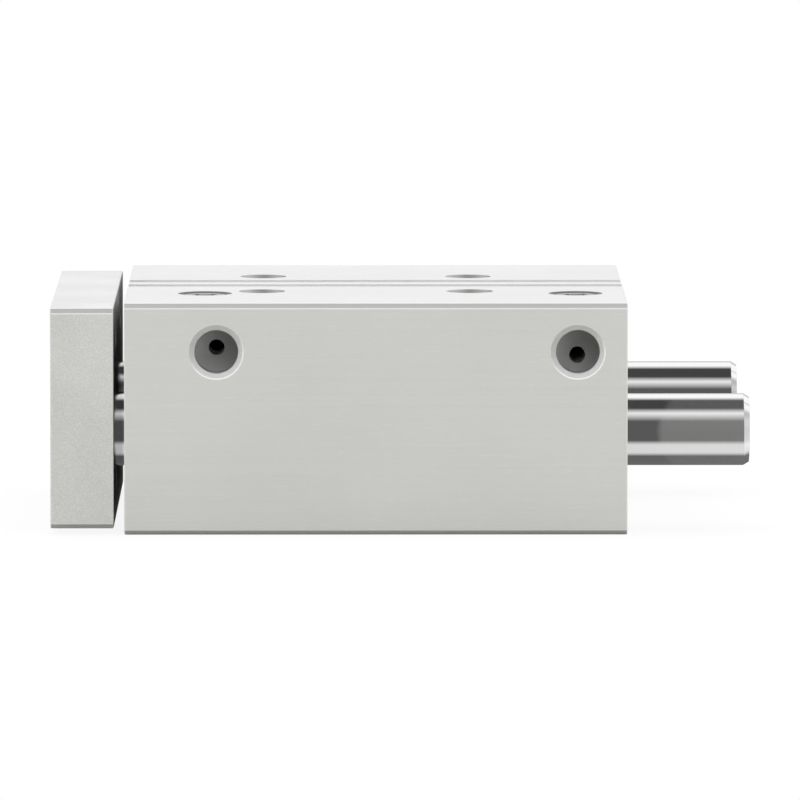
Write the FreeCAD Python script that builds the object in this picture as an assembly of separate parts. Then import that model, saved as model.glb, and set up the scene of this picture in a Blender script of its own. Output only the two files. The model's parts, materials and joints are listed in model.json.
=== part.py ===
import FreeCAD, Part

import math
import os

from FreeCAD import Vector

# Compact guided pneumatic cylinder: a block housing with one piston between two guide rods that carry an
# end plate. Millimetres. +X points from the end plate to the tails of the guide rods, +Y away from the side
# with the ports and +Z up. The origin is the centre of the four mounting holes, on the base. Every piece is
# drawn at rest, retracted.

# What names the size of the product
BORE_DIA = 32.0
STROKE = 50.0
PISTON_ROD_DIA = 12.0
GUIDE_ROD_DIA = 16.0
GUIDE_PITCH = 82.0

# Clearances, each on the radius or on one face
RUNNING_CLEARANCE = 0.04
SEATED_CLEARANCE = 0.05
SEAL_CLEARANCE = 0.02
END_GAP = 0.15

# Corners of the housing and the end plate
LONG_CHAMFER = 1.1
CORNER_RADIUS = 0.4
END_CHAMFER = 0.2

# Housing, an extruded bar with two sensor slots along its top
SIDE_WALL = 3.0
FLOOR_WALL = 10.8
SLOT_MOUTH = 6.2
SLOT_LIP = 1.8
SLOT_INNER_WIDTH = 8.2
SLOT_INNER_DEPTH = 3.0
SLOT_FLOOR_WALL = 1.9
SLOT_PITCH = 12.2
SLOT_SHIFT_Y = 1.5
MOUTH_CHAMFER = 0.5

# Mounting holes: screws go down through them, or screws of the next size come up from the base
MOUNT_PITCH_X = 46.6
MOUNT_FROM_FRONT = 30.3
MOUNT_HOLE_DIA = 6.8
MOUNT_HOLE_WALL = 1.6
MOUNT_COUNTERBORE_DIA = 10.5
MOUNT_COUNTERBORE_DEPTH = 6.5
DOWEL_DIA = 5.0
DOWEL_DEPTH = 6.0
DOWEL_SLOT_EXTRA = 1.0
REAR_HOLE_DIA = 5.0
REAR_HOLE_DEPTH = 12.0
REAR_HOLE_PITCH_Y = 37.0
REAR_HOLE_PITCH_Z = 33.0
THREAD_COUNTERSINK = 0.5
DRILL_POINT_ANGLE = 118.0

# Air ports with a pipe thread, drawn at the thread's outer size, and their plugged twins on the top
PORT_DIA = 9.73
PORT_COUNTERSINK_DIA = 12.2
PORT_DEPTH = 8.0
PORT_BELOW_BORE_TOP = 3.15
PORT_WALL = 1.3
PASSAGE_DIA = 3.6
PASSAGE_GAP = 0.1
FRONT_PASSAGE_LIFT = 0.3
REAR_PASSAGE_LIFT = -1.4
PLUG_ROW_Y = -26.8
FRONT_PLUG_SHIFT_X = -2.8
DROP_PASSAGE_DIA = 3.0
PLUG_INSET = 0.3
PLUG_BOTTOM_GAP = 0.6
PLUG_HEX = 5.0
PLUG_HEX_DEPTH = 3.2

# Cap seats at both ends of the bore, with a retaining ring each
SEAT_STEP = 1.0
RING_INSET = 1.8
RING_THICKNESS = 1.5
RING_GROOVE_DEPTH = 0.9
RING_SECTION = 3.4
RING_ECCENTRICITY = 0.7
RING_LUG_DIA = 5.2
RING_LUG_HOLE_DIA = 2.5
RING_LUG_INSET = 3.5
RING_LUG_SPREAD = 3.4
RING_GAP = 2.6
FRONT_CAP_NOSE = 3.2
REAR_CAP_FLANGE = 5.8
REAR_CAP_DISH_DIA = 18.0
REAR_CAP_DISH_DEPTH = 1.0
O_RING_WIDTH = 2.4
O_RING_DEPTH = 1.6
O_RING_CORNER = 0.5

# Bearing and seals of the piston rod, in the front cap
ROD_WIPER_SECTION = 3.0
ROD_WIPER_LENGTH = 3.0
ROD_WIPER_LIP = 0.8
ROD_SEAL_SECTION = 3.0
ROD_SEAL_LENGTH = 3.2
ROD_SEAL_FROM_WIPER = 1.6
ROD_BUSH_FROM_SEAL = 1.0
ROD_BUSH_WALL = 1.0
ROD_BUSH_LENGTH = 6.4

# Rubber bumpers at both ends of the stroke
BUMPER_LENGTH = 5.8
BUMPER_SECTION = 4.5
BUMPER_ROD_GAP = 1.5

# Piston, clamped in two halves around a magnet
PISTON_RUNNING_GAP = 0.2
PISTON_GROOVE_WALL = 3.0
PISTON_SEAL_LENGTH = 3.4
PISTON_SEAL_DEPTH = 3.4
PISTON_MAGNET_WALL = 2.1
SEAL_NOTCH_DEPTH = 1.4
MAGNET_LENGTH = 5.0
MAGNET_SECTION = 4.2
WEAR_RING_THICKNESS = 1.7
SPIGOT_DIA = 8.0
NUT_WALL = 2.5
NUT_HEIGHT = 5.0
NUT_POCKET_GAP = 0.2
NUT_SINK = 1.0

# Guide bearings, one at each end of each guide bore
GUIDE_BUSH_WALL = 3.0
GUIDE_BUSH_LENGTH = 30.0
GUIDE_WIPER_LENGTH = 3.0
GUIDE_WIPER_LIP = 0.8
SNAP_RING_INSET = 1.8
SNAP_RING_THICKNESS = 1.2
SNAP_RING_GROOVE_DEPTH = 0.6
SNAP_RING_SECTION = 1.9
SNAP_RING_GAP = 5.0

# End plate and what it carries
PLATE_THICKNESS = 14.0
PLATE_GAP = 2.4
PLATE_BOTTOM_MARGIN = 1.3
PLATE_TOP_MARGIN = 1.2
PLATE_SIDE_MARGIN = 1.0
ROD_RECESS = 1.5
GUIDE_ROD_TAIL = 27.3
GUIDE_ROD_CHAMFER_LENGTH = 1.25
GUIDE_ROD_CHAMFER_DEPTH = 0.75
ROD_FRONT_CHAMFER = 0.6
TOOL_HOLE_DIA = 5.0
TOOL_HOLE_PITCH_Y = 48.0
TOOL_HOLE_PITCH_Z = 32.0
TOOL_DOWEL_PITCH_Y = 48.0

# Socket head screws through the plate: thread, head, key, length under the head
GUIDE_SCREW = {"thread": 8.0, "head": 13.0, "head_height": 8.0, "hex": 6.0, "hex_depth": 4.0,
               "length": 22.0}
PISTON_SCREW = {"thread": 6.0, "head": 10.0, "head_height": 6.0, "hex": 5.0, "hex_depth": 3.0,
                "length": 20.0}
SCREW_HEAD_SINK = 0.5
SCREW_COUNTERBORE_GAP = 0.25
SCREW_HOLE_GAP = 0.3
SCREW_HOLE_RUNOUT = 3.0

# Places that follow, across the product
BORE_R = BORE_DIA / 2
SEAT_R = BORE_R + SEAT_STEP
BORE_AXIS_Z = FLOOR_WALL + SEAT_R
SLOT_DEPTH = SLOT_LIP + SLOT_INNER_DEPTH
HOUSING_HEIGHT = BORE_AXIS_Z + SEAT_R + SLOT_FLOOR_WALL + SLOT_DEPTH
GUIDE_R = GUIDE_ROD_DIA / 2
GUIDE_BORE_R = GUIDE_R + GUIDE_BUSH_WALL
HOUSING_WIDTH = GUIDE_PITCH + 2 * (GUIDE_BORE_R + SIDE_WALL)
NEAR_Y = -HOUSING_WIDTH / 2
MOUNT_PITCH_Y = BORE_DIA + 2 * MOUNT_HOLE_WALL + MOUNT_HOLE_DIA
PORT_Z = BORE_AXIS_Z + BORE_R - PORT_BELOW_BORE_TOP
GUIDE_AXIS_Z = PORT_Z - PORT_COUNTERSINK_DIA / 2 - PORT_WALL - GUIDE_BORE_R
GUIDE_ROWS = {"near": -GUIDE_PITCH / 2, "far": GUIDE_PITCH / 2}

# Radii and key sizes that follow, of the pieces on the piston rod's axis
ROD_R = PISTON_ROD_DIA / 2
ROD_WIPER_R = ROD_R + ROD_WIPER_SECTION
ROD_SEAL_R = ROD_R + ROD_SEAL_SECTION
WEAR_RING_R = BORE_R - RUNNING_CLEARANCE
MAGNET_R = WEAR_RING_R - WEAR_RING_THICKNESS
MAGNET_INNER_R = MAGNET_R - MAGNET_SECTION
NUT_ACROSS_FLATS = SPIGOT_DIA + 2 * NUT_WALL
NUT_POCKET_R = NUT_ACROSS_FLATS / math.sqrt(3) + NUT_POCKET_GAP

# Lengths that follow
GUIDE_WIPER_START = SNAP_RING_INSET + SNAP_RING_THICKNESS
GUIDE_BUSH_START = GUIDE_WIPER_START + GUIDE_WIPER_LENGTH
NUT_POCKET_DEPTH = NUT_HEIGHT + NUT_SINK
FRONT_CAP_LENGTH = (ROD_WIPER_LENGTH + ROD_SEAL_FROM_WIPER + ROD_SEAL_LENGTH + ROD_BUSH_FROM_SEAL
                    + ROD_BUSH_LENGTH)
PISTON_LENGTH = 2 * (PISTON_GROOVE_WALL + PISTON_SEAL_LENGTH + PISTON_MAGNET_WALL) + MAGNET_LENGTH

# Places that follow, along the product, from the front to the rear
HOUSING_FRONT_X = -(MOUNT_FROM_FRONT + MOUNT_PITCH_X / 2)
FRONT_RING_X = HOUSING_FRONT_X + RING_INSET
FRONT_CAP_X = FRONT_RING_X + RING_THICKNESS
FRONT_NOSE_X = FRONT_CAP_X + FRONT_CAP_LENGTH
FRONT_SHOULDER_X = FRONT_NOSE_X - FRONT_CAP_NOSE
FRONT_O_RING_X = (FRONT_CAP_X + FRONT_SHOULDER_X) / 2
ROD_SEAL_X = FRONT_CAP_X + ROD_WIPER_LENGTH + ROD_SEAL_FROM_WIPER
ROD_BUSH_X = FRONT_NOSE_X - ROD_BUSH_LENGTH
PISTON_FRONT_X = FRONT_NOSE_X + BUMPER_LENGTH + END_GAP + STROKE
PISTON_MIDDLE_X = PISTON_FRONT_X + PISTON_LENGTH / 2
PISTON_REAR_X = PISTON_FRONT_X + PISTON_LENGTH
MAGNET_X = PISTON_MIDDLE_X - MAGNET_LENGTH / 2
SPIGOT_END_X = PISTON_REAR_X - NUT_SINK / 2
REAR_BUMPER_X = PISTON_REAR_X + END_GAP
REAR_CAP_X = REAR_BUMPER_X + BUMPER_LENGTH
REAR_RING_X = REAR_CAP_X + REAR_CAP_FLANGE
REAR_O_RING_X = (REAR_CAP_X + REAR_RING_X) / 2
HOUSING_REAR_X = REAR_RING_X + RING_THICKNESS + RING_INSET
PLATE_REAR_X = HOUSING_FRONT_X - PLATE_GAP
PLATE_FRONT_X = PLATE_REAR_X - PLATE_THICKNESS
ROD_FRONT_X = PLATE_REAR_X - ROD_RECESS
FRONT_PORT_X = FRONT_NOSE_X + PASSAGE_DIA / 2 + PASSAGE_GAP
REAR_PORT_X = REAR_CAP_X - PASSAGE_DIA / 2 - PASSAGE_GAP
PLUGS_X = {"front": FRONT_PORT_X + FRONT_PLUG_SHIFT_X, "rear": REAR_PORT_X}

# The end plate, centred across the housing
PLATE_BOTTOM_Z = PLATE_BOTTOM_MARGIN
PLATE_TOP_Z = HOUSING_HEIGHT - PLATE_TOP_MARGIN
PLATE_WIDTH = HOUSING_WIDTH - 2 * PLATE_SIDE_MARGIN
PLATE_MIDDLE_Z = (PLATE_BOTTOM_Z + PLATE_TOP_Z) / 2

AXIS_X = Vector(1, 0, 0)
AXIS_Y = Vector(0, 1, 0)
AXIS_Z = Vector(0, 0, 1)


def turned(corners, y=0.0, z=BORE_AXIS_Z):
    """Solid of revolution about an axis along X, from (x, radius) corners in order."""
    points = [Vector(x, y, z + radius) for x, radius in corners]
    wire = Part.makePolygon(points + points[:1])
    return Part.Face(wire).revolve(Vector(0, y, z), AXIS_X, 360)


def ring(x0, x1, inner_r, outer_r, y=0.0, z=BORE_AXIS_Z):
    """Plain ring between two stations."""
    return turned([(x0, inner_r), (x0, outer_r), (x1, outer_r), (x1, inner_r)], y, z)


def rod(x0, x1, radius, y=0.0, z=BORE_AXIS_Z):
    """Plain round bar, or a bore when it is cut away, between two stations."""
    return Part.makeCylinder(radius, x1 - x0, Vector(x0, y, z), AXIS_X)


def outline(points):
    """Face across X = 0 from (y, z) points in order."""
    corners = [Vector(0, y, z) for y, z in points]
    return Part.Face(Part.makePolygon(corners + corners[:1]))


def hex_prism(across_flats, length, origin, axis):
    """Hexagonal prism that starts at origin and runs along axis."""
    corner_r = across_flats / math.sqrt(3)
    corners = [Vector(corner_r * math.cos(a), corner_r * math.sin(a), 0)
               for a in (math.radians(60 * k) for k in range(7))]
    prism = Part.Face(Part.makePolygon(corners)).extrude(Vector(0, 0, length))
    prism.Placement = FreeCAD.Placement(origin, FreeCAD.Rotation(AXIS_Z, axis))
    return prism


def mirrored_rows(pitch):
    """The two places of a pair that stands astride the middle."""
    return (-pitch / 2, pitch / 2)


def edges_at(shape, stations):
    """Edges of a shape that lie across X at one of the stations."""
    def lies_across(edge, x):
        return abs(edge.BoundBox.XMin - x) < END_CHAMFER / 2 and edge.BoundBox.XLength < END_CHAMFER / 2

    return [edge for edge in shape.Edges if any(lies_across(edge, x) for x in stations)]


def chamfered_bar(x0, x1, half_width, z0, z1):
    """Bar along X: its long corners chamfered and a little rounded, its ends with broken edges."""
    c = LONG_CHAMFER
    section = outline([(-half_width + c, z0), (half_width - c, z0), (half_width, z0 + c),
                       (half_width, z1 - c), (half_width - c, z1), (-half_width + c, z1),
                       (-half_width, z1 - c), (-half_width, z0 + c)])
    bar = section.extrude(Vector(x1 - x0, 0, 0))
    bar.translate(Vector(x0, 0, 0))
    along = [edge for edge in bar.Edges if edge.BoundBox.XLength > LONG_CHAMFER]
    rounded = bar.makeFillet(CORNER_RADIUS, along)
    return rounded.makeChamfer(END_CHAMFER, edges_at(rounded, (x0, x1)))


def sensor_slot(y):
    """Cut for one T-shaped slot along the top: a narrow mouth over a wider channel."""
    length = HOUSING_REAR_X - HOUSING_FRONT_X
    floor_z = HOUSING_HEIGHT - SLOT_DEPTH
    channel = Part.makeBox(length, SLOT_INNER_WIDTH, SLOT_INNER_DEPTH,
                           Vector(HOUSING_FRONT_X, y - SLOT_INNER_WIDTH / 2, floor_z))
    mouth = Part.makeBox(length, SLOT_MOUTH, SLOT_DEPTH,
                         Vector(HOUSING_FRONT_X, y - SLOT_MOUTH / 2, floor_z))
    return channel.fuse(mouth)


def piston_bore():
    """Cuts for the bore: cylinder, a cap seat at each end, ring grooves and chamfered mouths."""
    groove_r = SEAT_R + RING_GROOVE_DEPTH
    mouth_r = SEAT_R + MOUTH_CHAMFER
    front_x, rear_x = HOUSING_FRONT_X, HOUSING_REAR_X
    return turned([
        (front_x, 0), (front_x, mouth_r), (front_x + MOUTH_CHAMFER, SEAT_R),
        (FRONT_RING_X, SEAT_R), (FRONT_RING_X, groove_r), (FRONT_CAP_X, groove_r), (FRONT_CAP_X, SEAT_R),
        (FRONT_SHOULDER_X, SEAT_R), (FRONT_SHOULDER_X, BORE_R), (REAR_CAP_X, BORE_R), (REAR_CAP_X, SEAT_R),
        (REAR_RING_X, SEAT_R), (REAR_RING_X, groove_r),
        (REAR_RING_X + RING_THICKNESS, groove_r), (REAR_RING_X + RING_THICKNESS, SEAT_R),
        (rear_x - MOUTH_CHAMFER, SEAT_R), (rear_x, mouth_r), (rear_x, 0),
    ])


def guide_bore(y):
    """Cut for one guide bore, with a snap ring groove and a chamfered mouth at each end."""
    r = GUIDE_BORE_R
    groove_r = r + SNAP_RING_GROOVE_DEPTH
    mouth_r = r + MOUTH_CHAMFER
    front_x, rear_x = HOUSING_FRONT_X, HOUSING_REAR_X
    f0 = front_x + SNAP_RING_INSET
    r1 = rear_x - SNAP_RING_INSET
    f1 = f0 + SNAP_RING_THICKNESS
    r0 = r1 - SNAP_RING_THICKNESS
    return turned([
        (front_x, 0), (front_x, mouth_r), (front_x + MOUTH_CHAMFER, r),
        (f0, r), (f0, groove_r), (f1, groove_r), (f1, r),
        (r0, r), (r0, groove_r), (r1, groove_r), (r1, r),
        (rear_x - MOUTH_CHAMFER, r), (rear_x, mouth_r), (rear_x, 0),
    ], y, GUIDE_AXIS_Z)


def countersunk_hole(mouth, inward, radius, depth, sink):
    """Cut for a round hole with a countersink of 90 degrees at its mouth."""
    hole = Part.makeCylinder(radius, depth, mouth, inward)
    return hole.fuse(Part.makeCone(radius + sink, radius, sink, mouth, inward))


def drilled_hole(mouth, inward, radius, depth, sink):
    """Cut for a blind countersunk hole that ends in the cone of the drill's point."""
    point = radius / math.tan(math.radians(DRILL_POINT_ANGLE / 2))
    hole = countersunk_hole(mouth, inward, radius, depth, sink)
    return hole.fuse(Part.makeCone(radius, 0, point, mouth + inward * depth, inward))


def port_hole(mouth, inward):
    """Cut for one pipe port."""
    return drilled_hole(mouth, inward, PORT_DIA / 2, PORT_DEPTH, (PORT_COUNTERSINK_DIA - PORT_DIA) / 2)


def air_way(x, lift, plug_x):
    """Cuts of one end's air way: side port, passage to the bore, and the plugged port on the top."""
    passage_z = PORT_Z + lift
    bore_half = math.sqrt(BORE_R ** 2 - (passage_z - BORE_AXIS_Z) ** 2)
    start_y = NEAR_Y + PORT_DEPTH
    side_port = port_hole(Vector(x, NEAR_Y, PORT_Z), AXIS_Y)
    passage = Part.makeCylinder(PASSAGE_DIA / 2, -bore_half + PASSAGE_DIA - start_y,
                                Vector(x, start_y, passage_z), AXIS_Y)
    top_port = port_hole(Vector(plug_x, PLUG_ROW_Y, HOUSING_HEIGHT), -AXIS_Z)
    drop = Part.makeCylinder(DROP_PASSAGE_DIA / 2, HOUSING_HEIGHT - PORT_DEPTH - passage_z,
                             Vector(x, PLUG_ROW_Y, passage_z), AXIS_Z)
    return [side_port, passage, top_port, drop]


def mounting_holes():
    """Cuts of the four mounting holes, the two dowel places in the base and the rear tapped holes."""
    cuts = []
    for x in mirrored_rows(MOUNT_PITCH_X):
        for y in mirrored_rows(MOUNT_PITCH_Y):
            cuts.append(Part.makeCylinder(MOUNT_HOLE_DIA / 2, HOUSING_HEIGHT, Vector(x, y, 0)))
            cuts.append(Part.makeCylinder(MOUNT_COUNTERBORE_DIA / 2, MOUNT_COUNTERBORE_DEPTH,
                                          Vector(x, y, HOUSING_HEIGHT - MOUNT_COUNTERBORE_DEPTH)))
    front_x, rear_x = mirrored_rows(MOUNT_PITCH_X)
    cuts.append(Part.makeCylinder(DOWEL_DIA / 2, DOWEL_DEPTH, Vector(front_x, 0, 0)))
    cuts.append(dowel_slot(rear_x))
    for y in mirrored_rows(REAR_HOLE_PITCH_Y):
        for dz in mirrored_rows(REAR_HOLE_PITCH_Z):
            cuts.append(drilled_hole(Vector(HOUSING_REAR_X, y, BORE_AXIS_Z + dz), -AXIS_X,
                                     REAR_HOLE_DIA / 2, REAR_HOLE_DEPTH, THREAD_COUNTERSINK))
    return cuts


def dowel_slot(x):
    """Oblong dowel place, longer along X, so that one pin locates and the other only lines up."""
    r = DOWEL_DIA / 2
    half = DOWEL_SLOT_EXTRA / 2
    middle = Part.makeBox(2 * half, 2 * r, DOWEL_DEPTH, Vector(x - half, -r, 0))
    ends = [Part.makeCylinder(r, DOWEL_DEPTH, Vector(x + side * half, 0, 0)) for side in (-1, 1)]
    return middle.fuse(ends)


def housing():
    """The block with all its bores, ports, slots and holes."""
    bar = chamfered_bar(HOUSING_FRONT_X, HOUSING_REAR_X, HOUSING_WIDTH / 2, 0, HOUSING_HEIGHT)
    cuts = [piston_bore()]
    cuts += [sensor_slot(SLOT_SHIFT_Y + y) for y in mirrored_rows(SLOT_PITCH)]
    cuts += [guide_bore(y) for y in GUIDE_ROWS.values()]
    cuts += air_way(FRONT_PORT_X, FRONT_PASSAGE_LIFT, PLUGS_X["front"])
    cuts += air_way(REAR_PORT_X, REAR_PASSAGE_LIFT, PLUGS_X["rear"])
    cuts += mounting_holes()
    return bar.cut(cuts)


def blanking_plug(x):
    """Socket plug screwed into one top port, a little below the face."""
    r = PORT_DIA / 2 - SEATED_CLEARANCE
    top_z = HOUSING_HEIGHT - PLUG_INSET
    length = PORT_DEPTH - PLUG_INSET - PLUG_BOTTOM_GAP
    plug = Part.makeCylinder(r, length, Vector(x, PLUG_ROW_Y, top_z - length))
    socket = hex_prism(PLUG_HEX, PLUG_HEX_DEPTH, Vector(x, PLUG_ROW_Y, top_z - PLUG_HEX_DEPTH), AXIS_Z)
    return plug.cut(socket)


def retaining_ring(x0):
    """Internal retaining ring with two drilled lugs, thicker opposite its gap, which points down."""
    outer_r = SEAT_R + RING_GROOVE_DEPTH - SEATED_CLEARANCE
    z = BORE_AXIS_Z
    x1 = x0 + RING_THICKNESS
    lug_z = z - (outer_r - RING_LUG_INSET)
    band = rod(x0, x1, outer_r, 0, z).cut(rod(x0, x1, outer_r - RING_SECTION, 0, z - RING_ECCENTRICITY))
    lugs = [rod(x0, x1, RING_LUG_DIA / 2, y, lug_z) for y in (-RING_LUG_SPREAD, RING_LUG_SPREAD)]
    holes = [rod(x0, x1, RING_LUG_HOLE_DIA / 2, y, lug_z) for y in (-RING_LUG_SPREAD, RING_LUG_SPREAD)]
    gap = Part.makeBox(RING_THICKNESS, RING_GAP, 2 * RING_LUG_DIA,
                       Vector(x0, -RING_GAP / 2, z - outer_r - RING_LUG_DIA / 2))
    return band.fuse(lugs).cut(holes + [gap])


def cap_o_ring(middle_x):
    """Static seal of a cap, squeezed between its groove and the seat."""
    x0 = middle_x - O_RING_WIDTH / 2 + SEATED_CLEARANCE
    x1 = middle_x + O_RING_WIDTH / 2 - SEATED_CLEARANCE
    r0 = SEAT_R - O_RING_DEPTH
    r1 = SEAT_R
    c = O_RING_CORNER
    return turned([(x0, r0), (x0, r1 - c), (x0 + c, r1), (x1 - c, r1), (x1, r1 - c), (x1, r0)])


def front_bearing_cap():
    """Cap that closes the front of the bore and carries the bearing, seal and wiper of the piston rod."""
    outer_r = SEAT_R - SEATED_CLEARANCE
    nose_r = BORE_R - SEATED_CLEARANCE
    groove_r = SEAT_R - O_RING_DEPTH
    throat_r = ROD_R + END_GAP
    bush_r = ROD_R + ROD_BUSH_WALL
    g0 = FRONT_O_RING_X - O_RING_WIDTH / 2
    g1 = FRONT_O_RING_X + O_RING_WIDTH / 2
    wiper_end = FRONT_CAP_X + ROD_WIPER_LENGTH
    seal_end = ROD_SEAL_X + ROD_SEAL_LENGTH
    return turned([
        (FRONT_CAP_X, ROD_WIPER_R), (FRONT_CAP_X, outer_r), (g0, outer_r), (g0, groove_r), (g1, groove_r),
        (g1, outer_r), (FRONT_SHOULDER_X, outer_r), (FRONT_SHOULDER_X, nose_r), (FRONT_NOSE_X, nose_r),
        (FRONT_NOSE_X, bush_r), (ROD_BUSH_X, bush_r), (ROD_BUSH_X, throat_r), (seal_end, throat_r),
        (seal_end, ROD_SEAL_R), (ROD_SEAL_X, ROD_SEAL_R), (ROD_SEAL_X, throat_r), (wiper_end, throat_r),
        (wiper_end, ROD_WIPER_R),
    ])


def rod_wiper():
    """Wiper ring with a lip that leans out over the rod."""
    x0 = FRONT_CAP_X
    x1 = x0 + ROD_WIPER_LENGTH
    lip_r = ROD_R + SEAL_CLEARANCE
    return turned([(x0 - ROD_WIPER_LIP, lip_r), (x0, ROD_WIPER_R), (x1, ROD_WIPER_R),
                   (x1, lip_r + ROD_WIPER_LIP), (x0, lip_r + ROD_WIPER_LIP / 2)])


def lip_seal(back_x, front_x, inner_r, outer_r):
    """Cup seal: a flat back and a notched side that opens towards the pressure."""
    towards_back = math.copysign(1.0, back_x - front_x)
    notch_x = front_x + towards_back * SEAL_NOTCH_DEPTH
    return turned([(back_x, inner_r), (back_x, outer_r), (front_x, outer_r),
                   (notch_x, (inner_r + outer_r) / 2), (front_x, inner_r)])


def rod_seal():
    """Cup seal of the piston rod, open towards the bore."""
    return lip_seal(ROD_SEAL_X, ROD_SEAL_X + ROD_SEAL_LENGTH, ROD_R + SEAL_CLEARANCE, ROD_SEAL_R)


def rod_bush():
    """Plain bearing of the piston rod."""
    return ring(ROD_BUSH_X, FRONT_NOSE_X, ROD_R + RUNNING_CLEARANCE, ROD_R + ROD_BUSH_WALL)


def bumper(x0):
    """Rubber ring that stops the piston."""
    inner_r = ROD_R + BUMPER_ROD_GAP
    return ring(x0, x0 + BUMPER_LENGTH, inner_r, inner_r + BUMPER_SECTION)


def rear_end_cap():
    """Disc that closes the rear of the bore, dished on its outer face."""
    outer_r = SEAT_R - SEATED_CLEARANCE
    groove_r = SEAT_R - O_RING_DEPTH
    dish_r = REAR_CAP_DISH_DIA / 2
    g0 = REAR_O_RING_X - O_RING_WIDTH / 2
    g1 = REAR_O_RING_X + O_RING_WIDTH / 2
    dish_x = REAR_RING_X - REAR_CAP_DISH_DEPTH
    return turned([
        (REAR_CAP_X, 0), (REAR_CAP_X, outer_r), (g0, outer_r), (g0, groove_r), (g1, groove_r), (g1, outer_r),
        (REAR_RING_X, outer_r), (REAR_RING_X, dish_r), (dish_x, dish_r - REAR_CAP_DISH_DEPTH), (dish_x, 0),
    ])


def from_end(end, distance):
    """Station at a distance inward from the front or rear face of the housing."""
    return HOUSING_FRONT_X + distance if end == "front" else HOUSING_REAR_X - distance


def span(end, start, length):
    """The two stations, in rising order, of a piece that starts so far inward from an end face."""
    return sorted((from_end(end, start), from_end(end, start + length)))


def guide_bush(end, y):
    """Plain bearing of a guide rod."""
    x0, x1 = span(end, GUIDE_BUSH_START, GUIDE_BUSH_LENGTH)
    return ring(x0, x1, GUIDE_R + RUNNING_CLEARANCE, GUIDE_BORE_R, y, GUIDE_AXIS_Z)


def guide_wiper(end, y):
    """Wiper ring outside a guide bush, with a lip that leans outward over the rod."""
    out_x = from_end(end, GUIDE_WIPER_START)
    in_x = from_end(end, GUIDE_BUSH_START)
    lip_x = from_end(end, GUIDE_WIPER_START - GUIDE_WIPER_LIP)
    lip_r = GUIDE_R + SEAL_CLEARANCE
    return turned([(lip_x, lip_r), (out_x, lip_r + GUIDE_WIPER_LIP), (out_x, GUIDE_BORE_R),
                   (in_x, GUIDE_BORE_R), (in_x, lip_r)], y, GUIDE_AXIS_Z)


def guide_snap_ring(end, y):
    """Open ring of square wire that holds a wiper in its bore, with its gap at the top."""
    x0, x1 = span(end, SNAP_RING_INSET, SNAP_RING_THICKNESS)
    outer_r = GUIDE_BORE_R + SNAP_RING_GROOVE_DEPTH - SEATED_CLEARANCE
    band = ring(x0, x1, outer_r - SNAP_RING_SECTION, outer_r, y, GUIDE_AXIS_Z)
    gap = Part.makeBox(x1 - x0, SNAP_RING_GAP, outer_r, Vector(x0, y - SNAP_RING_GAP / 2, GUIDE_AXIS_Z))
    return band.cut(gap)


def screw_place(screw, y, z):
    """Cuts in the plate for one screw: a counterbore from the front and a clear hole."""
    depth = screw["head_height"] + SCREW_HEAD_SINK
    head = rod(PLATE_FRONT_X, PLATE_FRONT_X + depth, screw["head"] / 2 + SCREW_COUNTERBORE_GAP, y, z)
    hole = rod(PLATE_FRONT_X, PLATE_REAR_X, screw["thread"] / 2 + SCREW_HOLE_GAP, y, z)
    return [head, hole]


def socket_screw(screw, y, z):
    """Socket head screw seated in its counterbore."""
    seat_x = PLATE_FRONT_X + SCREW_HEAD_SINK + screw["head_height"]
    head_x = PLATE_FRONT_X + SCREW_HEAD_SINK
    head = rod(head_x, seat_x, screw["head"] / 2, y, z)
    shank = rod(seat_x, seat_x + screw["length"], screw["thread"] / 2 - SEATED_CLEARANCE, y, z)
    socket = hex_prism(screw["hex"], screw["hex_depth"], Vector(head_x, y, z), AXIS_X)
    return head.fuse(shank).cut(socket)


def tapped_length(screw):
    """Depth of the tapped hole in a rod's end that takes a plate screw."""
    grip = PLATE_THICKNESS - SCREW_HEAD_SINK - screw["head_height"] - ROD_RECESS
    return screw["length"] - grip + SCREW_HOLE_RUNOUT


def end_plate():
    """Plate across the front: rod recesses behind, sunk screws, and holes for whatever it carries."""
    plate = chamfered_bar(PLATE_FRONT_X, PLATE_REAR_X, PLATE_WIDTH / 2, PLATE_BOTTOM_Z, PLATE_TOP_Z)
    cuts = screw_place(PISTON_SCREW, 0, BORE_AXIS_Z)
    cuts.append(rod(ROD_FRONT_X, PLATE_REAR_X, ROD_R + SEATED_CLEARANCE))
    for y in GUIDE_ROWS.values():
        cuts += screw_place(GUIDE_SCREW, y, GUIDE_AXIS_Z)
        cuts.append(rod(ROD_FRONT_X, PLATE_REAR_X, GUIDE_R + SEATED_CLEARANCE, y, GUIDE_AXIS_Z))
    for y in mirrored_rows(TOOL_HOLE_PITCH_Y):
        for dz in mirrored_rows(TOOL_HOLE_PITCH_Z):
            cuts.append(countersunk_hole(Vector(PLATE_FRONT_X, y, PLATE_MIDDLE_Z + dz), AXIS_X,
                                         TOOL_HOLE_DIA / 2, PLATE_THICKNESS, THREAD_COUNTERSINK))
    for y in mirrored_rows(TOOL_DOWEL_PITCH_Y):
        cuts.append(rod(PLATE_FRONT_X, PLATE_FRONT_X + DOWEL_DEPTH, DOWEL_DIA / 2, y, PLATE_MIDDLE_Z))
    return plate.cut(cuts)


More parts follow.
